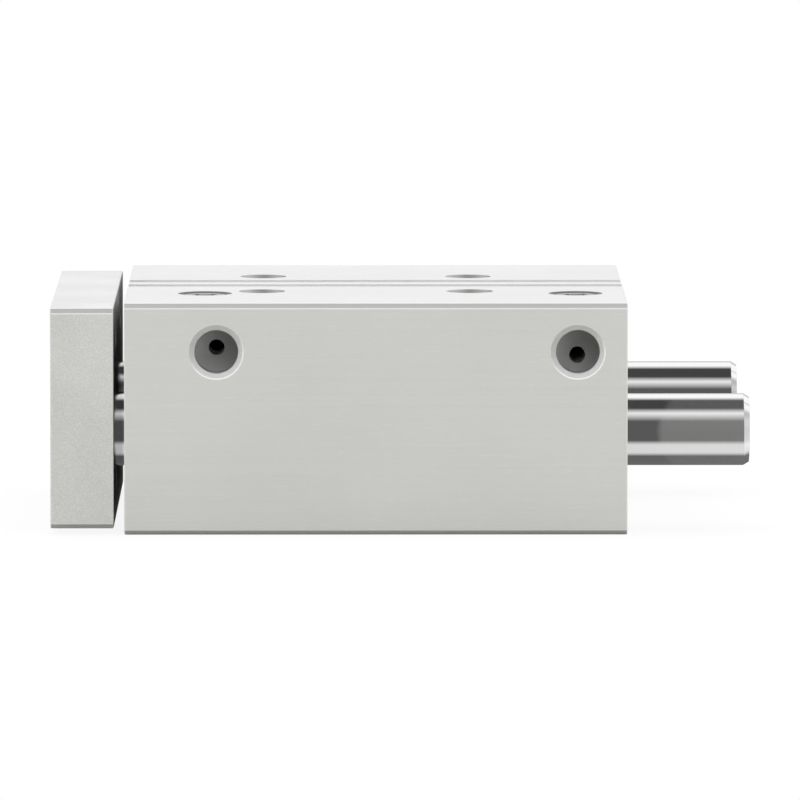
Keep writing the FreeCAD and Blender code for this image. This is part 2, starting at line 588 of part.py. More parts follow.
def guide_rod(y):
    """Ground guide rod: tapped at the plate, chamfered tail behind the housing."""
    tail_x = HOUSING_REAR_X + GUIDE_ROD_TAIL
    c0 = ROD_FRONT_CHAMFER
    bar = turned([(ROD_FRONT_X, 0), (ROD_FRONT_X, GUIDE_R - c0), (ROD_FRONT_X + c0, GUIDE_R),
                  (tail_x - GUIDE_ROD_CHAMFER_LENGTH, GUIDE_R),
                  (tail_x, GUIDE_R - GUIDE_ROD_CHAMFER_DEPTH), (tail_x, 0)], y, GUIDE_AXIS_Z)
    depth = tapped_length(GUIDE_SCREW)
    return bar.cut(rod(ROD_FRONT_X, ROD_FRONT_X + depth, GUIDE_SCREW["thread"] / 2, y, GUIDE_AXIS_Z))


def piston_rod():
    """Piston rod: tapped at the plate, with a threaded spigot that clamps the piston."""
    c0 = ROD_FRONT_CHAMFER
    spigot_r = SPIGOT_DIA / 2 - SEATED_CLEARANCE
    bar = turned([(ROD_FRONT_X, 0), (ROD_FRONT_X, ROD_R - c0), (ROD_FRONT_X + c0, ROD_R),
                  (PISTON_FRONT_X, ROD_R), (PISTON_FRONT_X, spigot_r), (SPIGOT_END_X, spigot_r),
                  (SPIGOT_END_X, 0)])
    depth = tapped_length(PISTON_SCREW)
    return bar.cut(rod(ROD_FRONT_X, ROD_FRONT_X + depth, PISTON_SCREW["thread"] / 2))


def piston_half(outer_x, inward, pocket):
    """Half of the piston with its seal groove, half of the magnet groove and, behind, the nut pocket."""
    def at(distance):
        return outer_x + inward * distance

    r = BORE_R - PISTON_RUNNING_GAP
    floor_r = BORE_R - PISTON_SEAL_DEPTH
    half = PISTON_LENGTH / 2
    seal0 = PISTON_GROOVE_WALL
    seal1 = seal0 + PISTON_SEAL_LENGTH
    magnet = half - MAGNET_LENGTH / 2
    spigot_r = SPIGOT_DIA / 2
    if pocket:
        inner = [(at(half), spigot_r), (at(NUT_POCKET_DEPTH), spigot_r), (at(NUT_POCKET_DEPTH), NUT_POCKET_R),
                 (at(0), NUT_POCKET_R)]
    else:
        inner = [(at(half), spigot_r), (at(0), spigot_r)]
    return turned([(at(0), r), (at(seal0), r), (at(seal0), floor_r), (at(seal1), floor_r), (at(seal1), r),
                   (at(magnet), r), (at(magnet), MAGNET_INNER_R), (at(half), MAGNET_INNER_R)] + inner)


def piston_seal(outer_x, inward):
    """Cup seal of the piston, open towards its own end of the bore."""
    front_x = outer_x + inward * PISTON_GROOVE_WALL
    back_x = front_x + inward * PISTON_SEAL_LENGTH
    return lip_seal(back_x, front_x, BORE_R - PISTON_SEAL_DEPTH, BORE_R - SEAL_CLEARANCE)


def piston_magnet():
    """Ring magnet that the sensors in the slots would feel."""
    return ring(MAGNET_X, MAGNET_X + MAGNET_LENGTH, MAGNET_INNER_R, MAGNET_R)


def piston_wear_ring():
    """Bearing band around the magnet, which carries the piston in the bore."""
    return ring(MAGNET_X, MAGNET_X + MAGNET_LENGTH, MAGNET_R, WEAR_RING_R)


def piston_nut():
    """Nut on the spigot, sunk in its pocket."""
    x0 = PISTON_REAR_X - NUT_POCKET_DEPTH
    nut = hex_prism(NUT_ACROSS_FLATS, NUT_HEIGHT, Vector(x0, 0, BORE_AXIS_Z), AXIS_X)
    return nut.cut(rod(x0, x0 + NUT_HEIGHT, SPIGOT_DIA / 2))


def fixed_nodes():
    """Every piece that stays with the housing, by node name."""
    nodes = {
        "housing": housing(),
        "front_bearing_cap": front_bearing_cap(),
        "front_cap_o_ring": cap_o_ring(FRONT_O_RING_X),
        "front_retaining_ring": retaining_ring(FRONT_RING_X),
        "rod_wiper": rod_wiper(),
        "rod_seal": rod_seal(),
        "rod_bush": rod_bush(),
        "front_bumper": bumper(FRONT_NOSE_X),
        "rear_bumper": bumper(REAR_BUMPER_X),
        "rear_end_cap": rear_end_cap(),
        "rear_cap_o_ring": cap_o_ring(REAR_O_RING_X),
        "rear_retaining_ring": retaining_ring(REAR_RING_X),
    }
    for end, x in PLUGS_X.items():
        nodes[f"{end}_blanking_plug"] = blanking_plug(x)
    for side, y in GUIDE_ROWS.items():
        for end in ("front", "rear"):
            nodes[f"{side}_{end}_guide_bush"] = guide_bush(end, y)
            nodes[f"{side}_{end}_guide_wiper"] = guide_wiper(end, y)
            nodes[f"{side}_{end}_snap_ring"] = guide_snap_ring(end, y)
    return nodes


def sliding_nodes():
    """Every piece that moves with the end plate, by node name."""
    nodes = {
        "end_plate": end_plate(),
        "guide_rod_screws": Part.makeCompound([socket_screw(GUIDE_SCREW, y, GUIDE_AXIS_Z)
                                               for y in GUIDE_ROWS.values()]),
        "piston_rod": piston_rod(),
        "piston_rod_screw": socket_screw(PISTON_SCREW, 0, BORE_AXIS_Z),
        "piston_front_half": piston_half(PISTON_FRONT_X, 1, pocket=False),
        "piston_rear_half": piston_half(PISTON_REAR_X, -1, pocket=True),
        "front_piston_seal": piston_seal(PISTON_FRONT_X, 1),
        "rear_piston_seal": piston_seal(PISTON_REAR_X, -1),
        "piston_magnet": piston_magnet(),
        "piston_wear_ring": piston_wear_ring(),
        "piston_nut": piston_nut(),
    }
    for side, y in GUIDE_ROWS.items():
        nodes[f"{side}_guide_rod"] = guide_rod(y)
    return nodes


def main():
    """Build every piece and write one file each."""
    os.makedirs("parts", exist_ok=True)
    for name, shape in {**fixed_nodes(), **sliding_nodes()}.items():
        shape.exportStep(f"parts/{name}.step")
        print(f"{name}: {len(shape.Solids)} solid(s), {shape.Volume / 1000:.2f} cm3, valid {shape.isValid()}")


main()
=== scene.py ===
"""Looks of a compact guided pneumatic cylinder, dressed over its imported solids, with its studio.

Metres throughout. +X runs from the end plate to the tails of the guide rods, the air ports are on the -Y side and
the sensor slots are on top, at +Z. The base stands on the floor at Z = 0.
"""

from __future__ import annotations

import json
import logging
import math
from dataclasses import dataclass, replace
from enum import Enum
from functools import cache, cached_property, reduce
from typing import Sequence

import bmesh
import bpy
import numpy as np
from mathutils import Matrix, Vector

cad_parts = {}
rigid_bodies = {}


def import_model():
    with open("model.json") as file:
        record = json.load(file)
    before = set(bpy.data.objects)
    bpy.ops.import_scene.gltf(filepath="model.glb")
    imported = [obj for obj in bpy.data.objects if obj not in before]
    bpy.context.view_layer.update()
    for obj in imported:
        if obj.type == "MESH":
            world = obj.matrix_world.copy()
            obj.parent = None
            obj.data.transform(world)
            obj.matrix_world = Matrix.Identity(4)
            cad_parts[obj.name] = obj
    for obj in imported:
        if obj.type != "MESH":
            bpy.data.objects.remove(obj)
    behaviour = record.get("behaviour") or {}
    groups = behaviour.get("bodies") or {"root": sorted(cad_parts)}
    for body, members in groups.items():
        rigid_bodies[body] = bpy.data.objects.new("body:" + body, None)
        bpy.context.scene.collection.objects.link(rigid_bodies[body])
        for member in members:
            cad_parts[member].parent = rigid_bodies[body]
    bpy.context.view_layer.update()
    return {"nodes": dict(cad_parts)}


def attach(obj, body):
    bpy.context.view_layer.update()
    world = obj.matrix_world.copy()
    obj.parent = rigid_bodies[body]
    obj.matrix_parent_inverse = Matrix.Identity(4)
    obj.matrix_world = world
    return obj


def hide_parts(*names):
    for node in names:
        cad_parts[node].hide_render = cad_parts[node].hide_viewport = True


LOG = logging.getLogger("guided_cylinder")

Colour = tuple[float, float, float]
Point = tuple[float, float, float]
Socket = bpy.types.NodeSocket

MM = 0.001
# How far the mask of a round wall reaches past it, and how far that of a plane face does.
HAIR, SKIM = 0.03 * MM, 0.05 * MM
# Vertices that lie no further apart are one.
SAME_POINT = 1e-7


class Body(Enum):
    """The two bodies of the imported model."""

    FIXED = "housing_assembly"
    SLIDING = "slide_unit"


class Slot(Enum):
    """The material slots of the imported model."""

    HOUSING = "anodised_housing"
    PLATE = "blasted_plate"
    GUIDE_ROD = "guide_rod_chrome"
    PISTON_ROD = "piston_rod_chrome"
    SCREW = "zinc_steel"
    RING = "phosphated_steel"
    RUBBER = "black_rubber"
    BUMPER = "bumper_rubber"
    BRONZE = "bronze"
    WEAR_RING = "wear_ring_plastic"
    MAGNET = "magnet"
    CAP = "cap_aluminium"


def shade(colour: Colour, share: float) -> Colour:
    """A colour times a share, with no part above 1."""
    return tuple(min(1.0, part * share) for part in colour)


class Sheet:
    """A shader node tree that is being filled, with short calls for nodes, links and sums."""

    def __init__(self, tree: bpy.types.NodeTree) -> None:
        """Starts on a material's, world's or group's node tree."""
        self.tree = tree

    def node(self, kind: str, *sources: object, **settings: object) -> bpy.types.Node:
        """Adds a node.

        Args:
            kind: the node's type name without its ShaderNode prefix.
            sources: what feeds its first inputs, in their order.
            settings: properties to set on it.

        Returns:
            The new node.
        """
        made = self.tree.nodes.new("ShaderNode" + kind)
        for key, value in settings.items():
            setattr(made, key, value)
        for socket, source in zip(made.inputs, sources):
            self.feed(socket, source)
        return made

    def feed(self, target: Socket, source: object) -> None:
        """Joins a socket to a target, or writes a plain value on it.

        Args:
            target: the input.
            source: another node's output, or a value.
        """
        if isinstance(source, Socket):
            self.tree.links.new(source, target)
        else:
            target.default_value = source

    def maths(self, operation: str, first: object, second: object = 0.0, third: object = 0.0,
              clamp: bool = False) -> Socket:
        """Adds a Math node.

        Args:
            operation: its operation.
            first: the first input, a socket or a number.
            second: the second input.
            third: the third input.
            clamp: whether the result is held between 0 and 1.

        Returns:
            The result's socket.
        """
        return self.node("Math", first, second, third, operation=operation, use_clamp=clamp).outputs[0]

    def plus(self, *values: object) -> Socket:
        """The sum of two or more values."""
        return reduce(lambda first, second: self.maths("ADD", first, second), values)

    def times(self, *values: object) -> Socket:
        """The product of two or more values."""
        return reduce(lambda first, second: self.maths("MULTIPLY", first, second), values)

    def minus(self, first: object, second: object) -> Socket:
        """The first value less the second."""
        return self.maths("SUBTRACT", first, second)

    def times_plus(self, first: object, second: object, third: object, clamp: bool = False) -> Socket:
        """The product of two values plus a third."""
        return self.maths("MULTIPLY_ADD", first, second, third, clamp)

    def apart(self, first: object, second: object) -> Socket:
        """How far two values lie from each other."""
        return self.maths("ABSOLUTE", self.minus(first, second))

    def between(self, value: object, low: object, high: object) -> Socket:
        """Mask of where a value lies between two others."""
        return self.times(self.maths("GREATER_THAN", value, low), self.maths("LESS_THAN", value, high))

    def reach(self, side: object, rise: object) -> Socket:
        """Distance from an axis: the root of the sum of the two squares."""
        return self.maths("SQRT", self.plus(self.times(side, side), self.times(rise, rise)))

    def split(self, vector: Socket) -> tuple[Socket, Socket, Socket]:
        """Splits a vector into its X, Y and Z."""
        return tuple(self.node("SeparateXYZ", vector).outputs)

    def ramp(self, value: object, low: object, high: object, to_low: object = 0.0, to_high: object = 1.0) -> Socket:
        """Maps a value smoothly from one range to another, held at both ends.

        Args:
            value: the value to map.
            low: where the first range begins.
            high: where it ends.
            to_low: the result below the range.
            to_high: the result above it.

        Returns:
            The mapped value's socket.
        """
        made = self.node("MapRange", value, low, high, to_low, to_high, interpolation_type="SMOOTHSTEP")
        return made.outputs["Result"]

    def blend(self, share: object, first: object, second: object) -> Socket:
        """Mixes two colours.

        Args:
            share: how much of the second.
            first: the colour at 0.
            second: the colour at 1.

        Returns:
            The mixed colour's socket.
        """
        made = self.node("Mix", data_type="RGBA")
        for name, source in (("Factor_Float", share), ("A_Color", first), ("B_Color", second)):
            socket = next(s for s in made.inputs if s.identifier == name)
            self.feed(socket, (*source, 1.0) if isinstance(source, tuple) and len(source) == 3 else source)
        return next(s for s in made.outputs if s.identifier == "Result_Color")

    def scaled(self, vector: Socket, factors: Sequence[object]) -> Socket:
        """Multiplies a vector's three parts.

        Args:
            vector: the vector's socket.
            factors: one number or socket for each of X, Y and Z.

        Returns:
            The scaled vector's socket.
        """
        joined = self.node("CombineXYZ", *factors).outputs[0]
        return self.node("VectorMath", vector, joined, operation="MULTIPLY").outputs[0]

    def noise(self, vector: Socket, detail: float = 2.0) -> Socket:
        """Reads soft noise whose cells are about one unit of a vector.

        Args:
            vector: the vector's socket.
            detail: how many finer layers it has.

        Returns:
            The noise's socket, from 0 to 1.
        """
        made = self.node("TexNoise")
        made.inputs["Scale"].default_value = 1.0
        made.inputs["Detail"].default_value = detail
        self.feed(made.inputs["Vector"], vector)
        return made.outputs["Fac"]

    def group(self, tree: bpy.types.NodeTree, **inputs: object) -> bpy.types.Node:
        """Places a node group.

        Args:
            tree: the group.
            inputs: what feeds each input, with _ for a space in its name.

        Returns:
            The group's node.
        """
        made = self.node("Group", node_tree=tree)
        for name, source in inputs.items():
            self.feed(made.inputs[name.replace("_", " ")], source)
        return made


class SkinSheet(Sheet):
    """A material's sheet, which knows where each point of the surface lies."""

    @cached_property
    def place(self) -> Socket:
        """Object coordinates of the point."""
        return self.node("TexCoord").outputs["Object"]

    @cached_property
    def parts(self) -> tuple[Socket, Socket, Socket]:
        """Their X, Y and Z."""
        return self.split(self.place)

    def effect(self, tree: bpy.types.NodeTree, **inputs: object) -> bpy.types.NodeOutputs:
        """Outputs of a node group that reads the point's place as its Vector."""
        return self.group(tree, Vector=self.place, **inputs).outputs


class Effects:
    """The node groups that several finishes share, each built once."""

    @staticmethod
    def _start(name: str, inputs: dict[str, str], outputs: Sequence[str]
               ) -> tuple[Sheet, dict[str, Socket], bpy.types.NodeInputs]:
        """Makes an empty group.

        Args:
            name: the group's name.
            inputs: socket type by input name.
            outputs: names of the outputs, all numbers.

        Returns:
            The sheet to fill, the inputs by name and the output node's sockets.
        """
        tree = bpy.data.node_groups.new(name, "ShaderNodeTree")
        for label, kind in inputs.items():
            tree.interface.new_socket(label, in_out="INPUT", socket_type="NodeSocket" + kind)
        for label in outputs:
            tree.interface.new_socket(label, in_out="OUTPUT", socket_type="NodeSocketFloat")
        entry = tree.nodes.new("NodeGroupInput")
        leave = tree.nodes.new("NodeGroupOutput")
        return Sheet(tree), {s.name: s for s in entry.outputs if s.name}, leave.inputs

    @staticmethod
    @cache
    def edges() -> bpy.types.NodeTree:
        """Masks the outer edges, by how far the normal rounded over Width turns from the face's own.

        Returns:
            The group, with Mask.
        """
        begins, full = 0.995, 0.90
        sheet, given, out = Effects._start("edges", {"Width": "Float"}, ["Mask"])
        rounded = sheet.node("Bevel", given["Width"], samples=6).outputs["Normal"]
        plain = sheet.node("NewGeometry").outputs["Normal"]
        turn = sheet.node("VectorMath", rounded, plain, operation="DOT_PRODUCT")
        sheet.feed(out["Mask"], sheet.ramp(turn.outputs["Value"], begins, full))
        return sheet.tree

    @staticmethod
    @cache
    def flecks() -> bpy.types.NodeTree:
        """Draws short bright strokes along X: thresholded noise stretched to Length by Breadth.

        Returns:
            The group, with Mask of the strokes and Height of the noise.
        """
        begins, full = 0.56, 0.76
        sheet, given, out = Effects._start("flecks", {"Vector": "Vector", "Length": "Float", "Breadth": "Float"},
                                           ["Mask", "Height"])
        along, across = (sheet.maths("DIVIDE", 1.0, given[size]) for size in ("Length", "Breadth"))
        grain = sheet.noise(sheet.scaled(given["Vector"], (along, across, across)), 3.0)
        sheet.feed(out["Mask"], sheet.ramp(grain, begins, full))
        sheet.feed(out["Height"], grain)
        return sheet.tree

    @staticmethod
    @cache
    def speckle() -> bpy.types.NodeTree:
        """Draws the even dimples of a blasted face: two noises, of Size and a third of it.

        Returns:
            The group, with Mask of the dimples and Height of the noise.
        """
        begins, full = 0.42, 0.62
        sheet, given, out = Effects._start("speckle", {"Vector": "Vector", "Size": "Float"}, ["Mask", "Height"])
        scales = [sheet.maths("DIVIDE", cells, given["Size"]) for cells in (1.0, 3.1)]
        first, second = (sheet.noise(sheet.scaled(given["Vector"], (scale,) * 3), 1.0) for scale in scales)
        both = sheet.times_plus(second, 0.5, sheet.times(first, 0.5))
        sheet.feed(out["Mask"], sheet.ramp(both, begins, full))
        sheet.feed(out["Height"], both)
        return sheet.tree

    @staticmethod
    @cache
    def drift() -> bpy.types.NodeTree:
        """Changes the tone slowly over a large face, by noise with cells of Size.

        Returns:
            The group, with Tone.
        """
        begins, full = 0.3, 0.7
        sheet, given, out = Effects._start("drift", {"Vector": "Vector", "Size": "Float"}, ["Tone"])
        cell = sheet.maths("DIVIDE", 1.0, given["Size"])
        cloud = sheet.noise(sheet.scaled(given["Vector"], (cell,) * 3), 3.0)
        sheet.feed(out["Tone"], sheet.ramp(cloud, begins, full))
        return sheet.tree

    @staticmethod
    @cache
    def turning() -> bpy.types.NodeTree:
        """Draws a lathe tool's marks round an axis along X.

        They are functions of one number, the distance from the axis plus the place along it, over Pitch: a sine with
        one wave for each turn, and noise for the fainter lines.

        Returns:
            The group, with Mask of the lines and Height of waves and lines.
        """
        begins, full = 0.45, 0.7
        sheet, given, out = Effects._start("turning", {"Vector": "Vector", "Axis Y": "Float", "Axis Z": "Float",
                                                       "Pitch": "Float"}, ["Mask", "Height"])
        x, y, z = sheet.split(given["Vector"])
        side = sheet.minus(sheet.maths("ABSOLUTE", y), given["Axis Y"])
        rise = sheet.minus(z, given["Axis Z"])
        turns = sheet.maths("DIVIDE", sheet.plus(sheet.reach(side, rise), x), given["Pitch"])
        scratch = sheet.noise(sheet.node("CombineXYZ", turns).outputs[0], 2.0)
        wave = sheet.times_plus(sheet.maths("SINE", sheet.times(turns, math.tau)), 0.25, 0.5)
        sheet.feed(out["Mask"], sheet.ramp(scratch, begins, full))
        sheet.feed(out["Height"], sheet.times_plus(scratch, 0.6, sheet.times(wave, 0.4)))
        return sheet.tree

    @staticmethod
    @cache
    def corners() -> bpy.types.NodeTree:
        """Finds the long chamfered corners of a bar along X, and the lines where a chamfer meets a face.

        With u the depth behind the nearer side face and v that behind the nearer of top and base, a chamfer is where
        u + v is no more than Chamfer and the smaller of the two is not nearly 0. A line is where the greater is about
        Chamfer and the smaller nearly 0.

        Returns:
            The group, with the masks Flat and Line.
        """
        line_middle, line_half, soft = 0.08 * MM, 0.12 * MM, 0.08 * MM
        sheet, given, out = Effects._start("corners", {"Vector": "Vector", "Half": "Float", "Low": "Float",
                                                       "High": "Float", "Chamfer": "Float"}, ["Flat", "Line"])
        _, y, z = sheet.split(given["Vector"])
        u = sheet.minus(given["Half"], sheet.maths("ABSOLUTE", y))
        v = sheet.maths("MINIMUM", sheet.minus(z, given["Low"]), sheet.minus(given["High"], z))
        small, great = sheet.maths("MINIMUM", u, v), sheet.maths("MAXIMUM", u, v)
        over = sheet.minus(sheet.plus(u, v), given["Chamfer"])
        near = sheet.ramp(over, 0.10 * MM, 0.25 * MM, 1.0, 0.0)
        sheet.feed(out["Flat"], sheet.times(near, sheet.ramp(small, 0.04 * MM, 0.12 * MM)))
        beyond = sheet.apart(sheet.minus(great, given["Chamfer"]), line_middle)
        edge = sheet.ramp(beyond, line_half, line_half + soft, 1.0, 0.0)
        sheet.feed(out["Line"], sheet.times(edge, sheet.ramp(small, 0.08 * MM, 0.14 * MM, 1.0, 0.0)))
        return sheet.tree

    @staticmethod
    @cache
    def thread() -> bpy.types.NodeTree:
        """Draws a screw thread: a rounded wave that climbs Pitch along a hole's axis for each turn round it.

        Returns:
            The group, with Height.
        """
        sheet, given, out = Effects._start(
            "thread", {"Along": "Float", "Side": "Float", "Rise": "Float", "Pitch": "Float"}, ["Height"])
        angle = sheet.maths("ARCTAN2", given["Rise"], given["Side"])
        phase = sheet.times_plus(sheet.maths("DIVIDE", given["Along"], given["Pitch"]), math.tau, angle)
        sheet.feed(out["Height"], sheet.times_plus(sheet.maths("SINE", phase), 0.5, 0.5))
        return sheet.tree


@dataclass
class Skin:
    """What varies over a surface.

    Attributes:
        colour: base colour, a socket or a colour.
        rough: roughness, a socket.
        height: height for the bump, a socket.
        depth: how deep that height is, in metres.
        metal: how metallic, a socket, or None where the finish's own number holds.
    """

    colour: object
    rough: Socket
    height: Socket
    depth: float
    metal: Socket | None = None


@dataclass(frozen=True)
class Finish:
    """What every finish has: a colour, how rough it is, and its metal.

    Attributes:
        slot: the material slot that it is made for.
        colour: base colour, linear.
        roughness: middle roughness.
        metallic: 1 for bare metal, 0 for plastic and rubber.
        swing: how much the finish's own marks change the roughness.
        painted_edge_colour: colour painted on the thin outer edges, a painted highlight where it is lighter than the
            face and painted shade where it is darker.
        painted_edge_width: width of those edges.
        painted_edge_share: how far the edges take that colour.
        painted_edge_metallic: how metallic the edges are, or None where they are as the rest.
    """

    slot: Slot
    colour: Colour
    roughness: float
    metallic: float = 1.0
    swing: float = 0.10
    painted_edge_colour: Colour = (0.93, 0.93, 0.92)
    painted_edge_width: float = 0.15 * MM
    painted_edge_share: float = 0.5
    painted_edge_metallic: float | None = None

    def material(self) -> bpy.types.Material:
        """Builds the material: the shader's fixed values first, then what varies over the surface.

        Returns:
            The finished material.
        """
        made = bpy.data.materials.new(self.slot.value + "_finish")
        made.use_nodes = True
        sheet = SkinSheet(made.node_tree)
        shader = made.node_tree.nodes["Principled BSDF"]
        shader.inputs["Metallic"].default_value = self.metallic
        skin = self.surface(sheet)
        # Painted edges: the thin outer edges take their own colour, a painted highlight where it is lighter than the
        # face and painted shade where it is darker.
        painted_edge = sheet.group(Effects.edges(), Width=self.painted_edge_width).outputs["Mask"]
        share = sheet.times(painted_edge, self.painted_edge_share)
        sheet.feed(shader.inputs["Base Color"], sheet.blend(share, skin.colour, self.painted_edge_colour))
        sheet.feed(shader.inputs["Roughness"], skin.rough)
        metal = self.metallic if skin.metal is None else skin.metal
        if self.painted_edge_metallic is not None:
            metal = sheet.ramp(share, 0.0, 1.0, metal, self.painted_edge_metallic)
        if not isinstance(metal, float):
            sheet.feed(shader.inputs["Metallic"], metal)
        bump = sheet.node("Bump")
        bump.inputs["Strength"].default_value = 1.0
        bump.inputs["Distance"].default_value = skin.depth
        sheet.feed(bump.inputs["Height"], skin.height)
        sheet.feed(shader.inputs["Normal"], bump.outputs["Normal"])
        return made

    def surface(self, sheet: SkinSheet) -> Skin:
        """Adds what varies over the surface and returns the skin."""
        raise NotImplementedError

    def roughened(self, sheet: Sheet, marks: Socket, middle: float = 0.5) -> Socket:
        """The roughness, changed by the swing as the marks go from 0 to 1 and left as it is at their middle value."""
        return sheet.times_plus(marks, self.swing, self.roughness - self.swing * middle)

    def toned(self, sheet: Sheet, tone: object, spread: float) -> Socket:
        """The base colour, less a share of itself where the tone is 0 and more by that share where it is 1."""
        return sheet.blend(tone, shade(self.colour, 1 - spread), shade(self.colour, 1 + spread))


@dataclass(frozen=True)
class BarSection:
    """Section of a bar along X with chamfered long corners.

    Attributes:
        half: half its width.
        low: its base.
        high: its top.
        chamfer: leg of the chamfers.
        margin: how far from base and top a tone has reached its end value there.
        reflection_tones: share of the colour left on the chamfers, at the base and at the top, a painted reflection
            darker than the faces.
        highlight_shares: how far the lines where the chamfers meet the faces take the edges' colour, a painted
            highlight, at the base and at the top.
    """

    half: float
    low: float
    high: float
    chamfer: float = 1.1 * MM
    margin: float = 5 * MM
    reflection_tones: tuple[float, float] = (0.53, 0.62)
    highlight_shares: tuple[float, float] = (0.15, 0.95)

    def corners(self, sheet: SkinSheet, colour: Colour) -> tuple[Socket, Socket, Socket]:
        """Paints its long corners: a painted reflection on the chamfers, of the floor at the base and the lamp at the
        top, and painted highlight lines where they meet the faces.

        Args:
            sheet: the material's sheet.
            colour: colour of the bar's faces.

        Returns:
            Mask of the chamfers, their painted reflection colour, and the mask of their painted highlight lines.
        """
        flat, line = sheet.effect(Effects.corners(), Half=self.half, Low=self.low, High=self.high,
                                  Chamfer=self.chamfer)
        # Painted reflection on the chamfers, darker at the base than at the top, and painted highlight lines, stronger
        # at the top.
        upper = sheet.ramp(sheet.parts[2], self.low + self.margin, self.high - self.margin)
        chamfer = sheet.blend(upper, *(shade(colour, tone) for tone in self.reflection_tones))
        return flat, chamfer, sheet.times(line, sheet.ramp(upper, 0.0, 1.0, *self.highlight_shares))


@dataclass(frozen=True)
class HolePlace:
    """A round hole, as it is seen along its axis.

    Attributes:
        x: its place along the housing.
        row: its place across the face that it opens in.
        radius: its radius.
    """

    x: float
    row: float
    radius: float

    def reach(self, sheet: Sheet, x: object, row: object) -> tuple[Socket, Socket, Socket]:
        """Mask of the points that are within the radius, and their two distances from the axis."""
        side, rise = sheet.minus(x, self.x), sheet.minus(row, self.row)
        return sheet.maths("LESS_THAN", sheet.reach(side, rise), self.radius + HAIR), side, rise


@dataclass(frozen=True)
class PortFinish:
    """Looks of the threaded side ports: walls darkened by painted shade with painted light across them, countersinks
    painted lighter below than above, and a painted highlight lip brighter still below.

    Attributes:
        mouth: outer radius of the countersinks.
        highlight_lip: width of the painted highlight line round them.
        starts: depth at which the wall's painted shade begins, above and below; the bright band above it, deeper below
            the port, is painted light.
        thread_pitch: pitch of the thread.
        thread_height: height of the thread against the strokes'.
        lit: direction, along X and up, in which the painted light makes the wall lightest.
        lowest: direction in which the painted light makes the countersinks lightest.
        lowest_walls: how far down, from 0 to 1, the wall's start goes over from the upper to the lower.
        lowest_highlights: how far down the painted highlight line begins to show and shows fully.
        chatter: size of the marks that the cutter left on the countersinks.
        chatter_share: how much those marks change the countersinks' tone.
        wall_shades: share of the housing's colour left in the ports as painted shade, on their shaded side and on the
            other.
        rim_colour: colour of the countersinks.
        rim_shades: share of that colour above the ports and below them, painted shade above and painted light below.
    """

    mouth: float = 6.1 * MM
    highlight_lip: float = 0.3 * MM
    starts: tuple[float, float] = (0.4 * MM, 3.6 * MM)
    thread_pitch: float = 0.907 * MM
    thread_height: float = 3.0
    lit: tuple[float, float] = (-0.8, -0.6)
    lowest: tuple[float, float] = (0.4, -0.9)
    lowest_walls: tuple[float, float] = (0.62, 0.90)
    lowest_highlights: tuple[float, float] = (0.3, 0.85)
    chatter: float = 0.45 * MM
    chatter_share: float = 0.4
    wall_shades: tuple[float, float] = (0.29, 0.75)
    rim_colour: Colour = (0.86, 0.865, 0.87)
    rim_shades: tuple[float, float] = (0.60, 0.82)

    def masks(self, sheet: SkinSheet, port: HolePlace) -> list[Socket]:
        """Marks one port, at every depth.

        Args:
            sheet: the material's sheet.
            port: the port.

        Returns:
            Mask of the port, the thread's height, the painted light across its wall, mask of the countersink, how far
            down in it a point is, and mask of its painted highlight lip. The painted light and the depth below are
            ramps over the distance in one direction.
        """
        x, y, z = sheet.parts
        near, side, rise = port.reach(sheet, x, z)
        wave = sheet.group(Effects.thread(), Along=y, Side=side, Rise=rise, Pitch=self.thread_pitch).outputs["Height"]
        lean, down = (sheet.times_plus(side, along, sheet.times(rise, up)) for along, up in (self.lit, self.lowest))
        # Painted light across the wall, lightest in the direction lit.
        painted_wall_light = sheet.ramp(lean, -port.radius, port.radius)
        wide, narrow = (HolePlace(port.x, port.row, radius).reach(sheet, x, z)[0]
                        for radius in (self.mouth, self.mouth - self.highlight_lip))
        lower = sheet.ramp(down, -self.mouth, self.mouth)
        return [near, sheet.times(wave, near), sheet.times(painted_wall_light, near), wide, sheet.times(lower, wide),
                sheet.minus(wide, narrow)]

    def rim(self, sheet: SkinSheet, lower: Socket, highlight_lip: Socket, highlight_colour: Colour) -> Socket:
        """Colours the countersinks, with painted shade above, painted light below and a painted highlight lip.

        Args:
            sheet: the material's sheet.
            lower: how far down in them a point is.
            highlight_lip: mask of their painted highlight lips.
            highlight_colour: colour of the painted highlight, below.

        Returns:
            The colour's socket.
        """
        chatter = sheet.effect(Effects.speckle(), Size=self.chatter)["Mask"]
        share = sheet.times_plus(chatter, self.chatter_share, sheet.minus(lower, self.chatter_share / 2), clamp=True)
        # Painted light: the countersinks lighter below, with the cutter's marks mixed in; then the painted highlight
        # lip below.
        colour = sheet.blend(share, *(shade(self.rim_colour, tone) for tone in self.rim_shades))
        return sheet.blend(sheet.times(highlight_lip, sheet.ramp(lower, *self.lowest_highlights)), colour, highlight_colour)


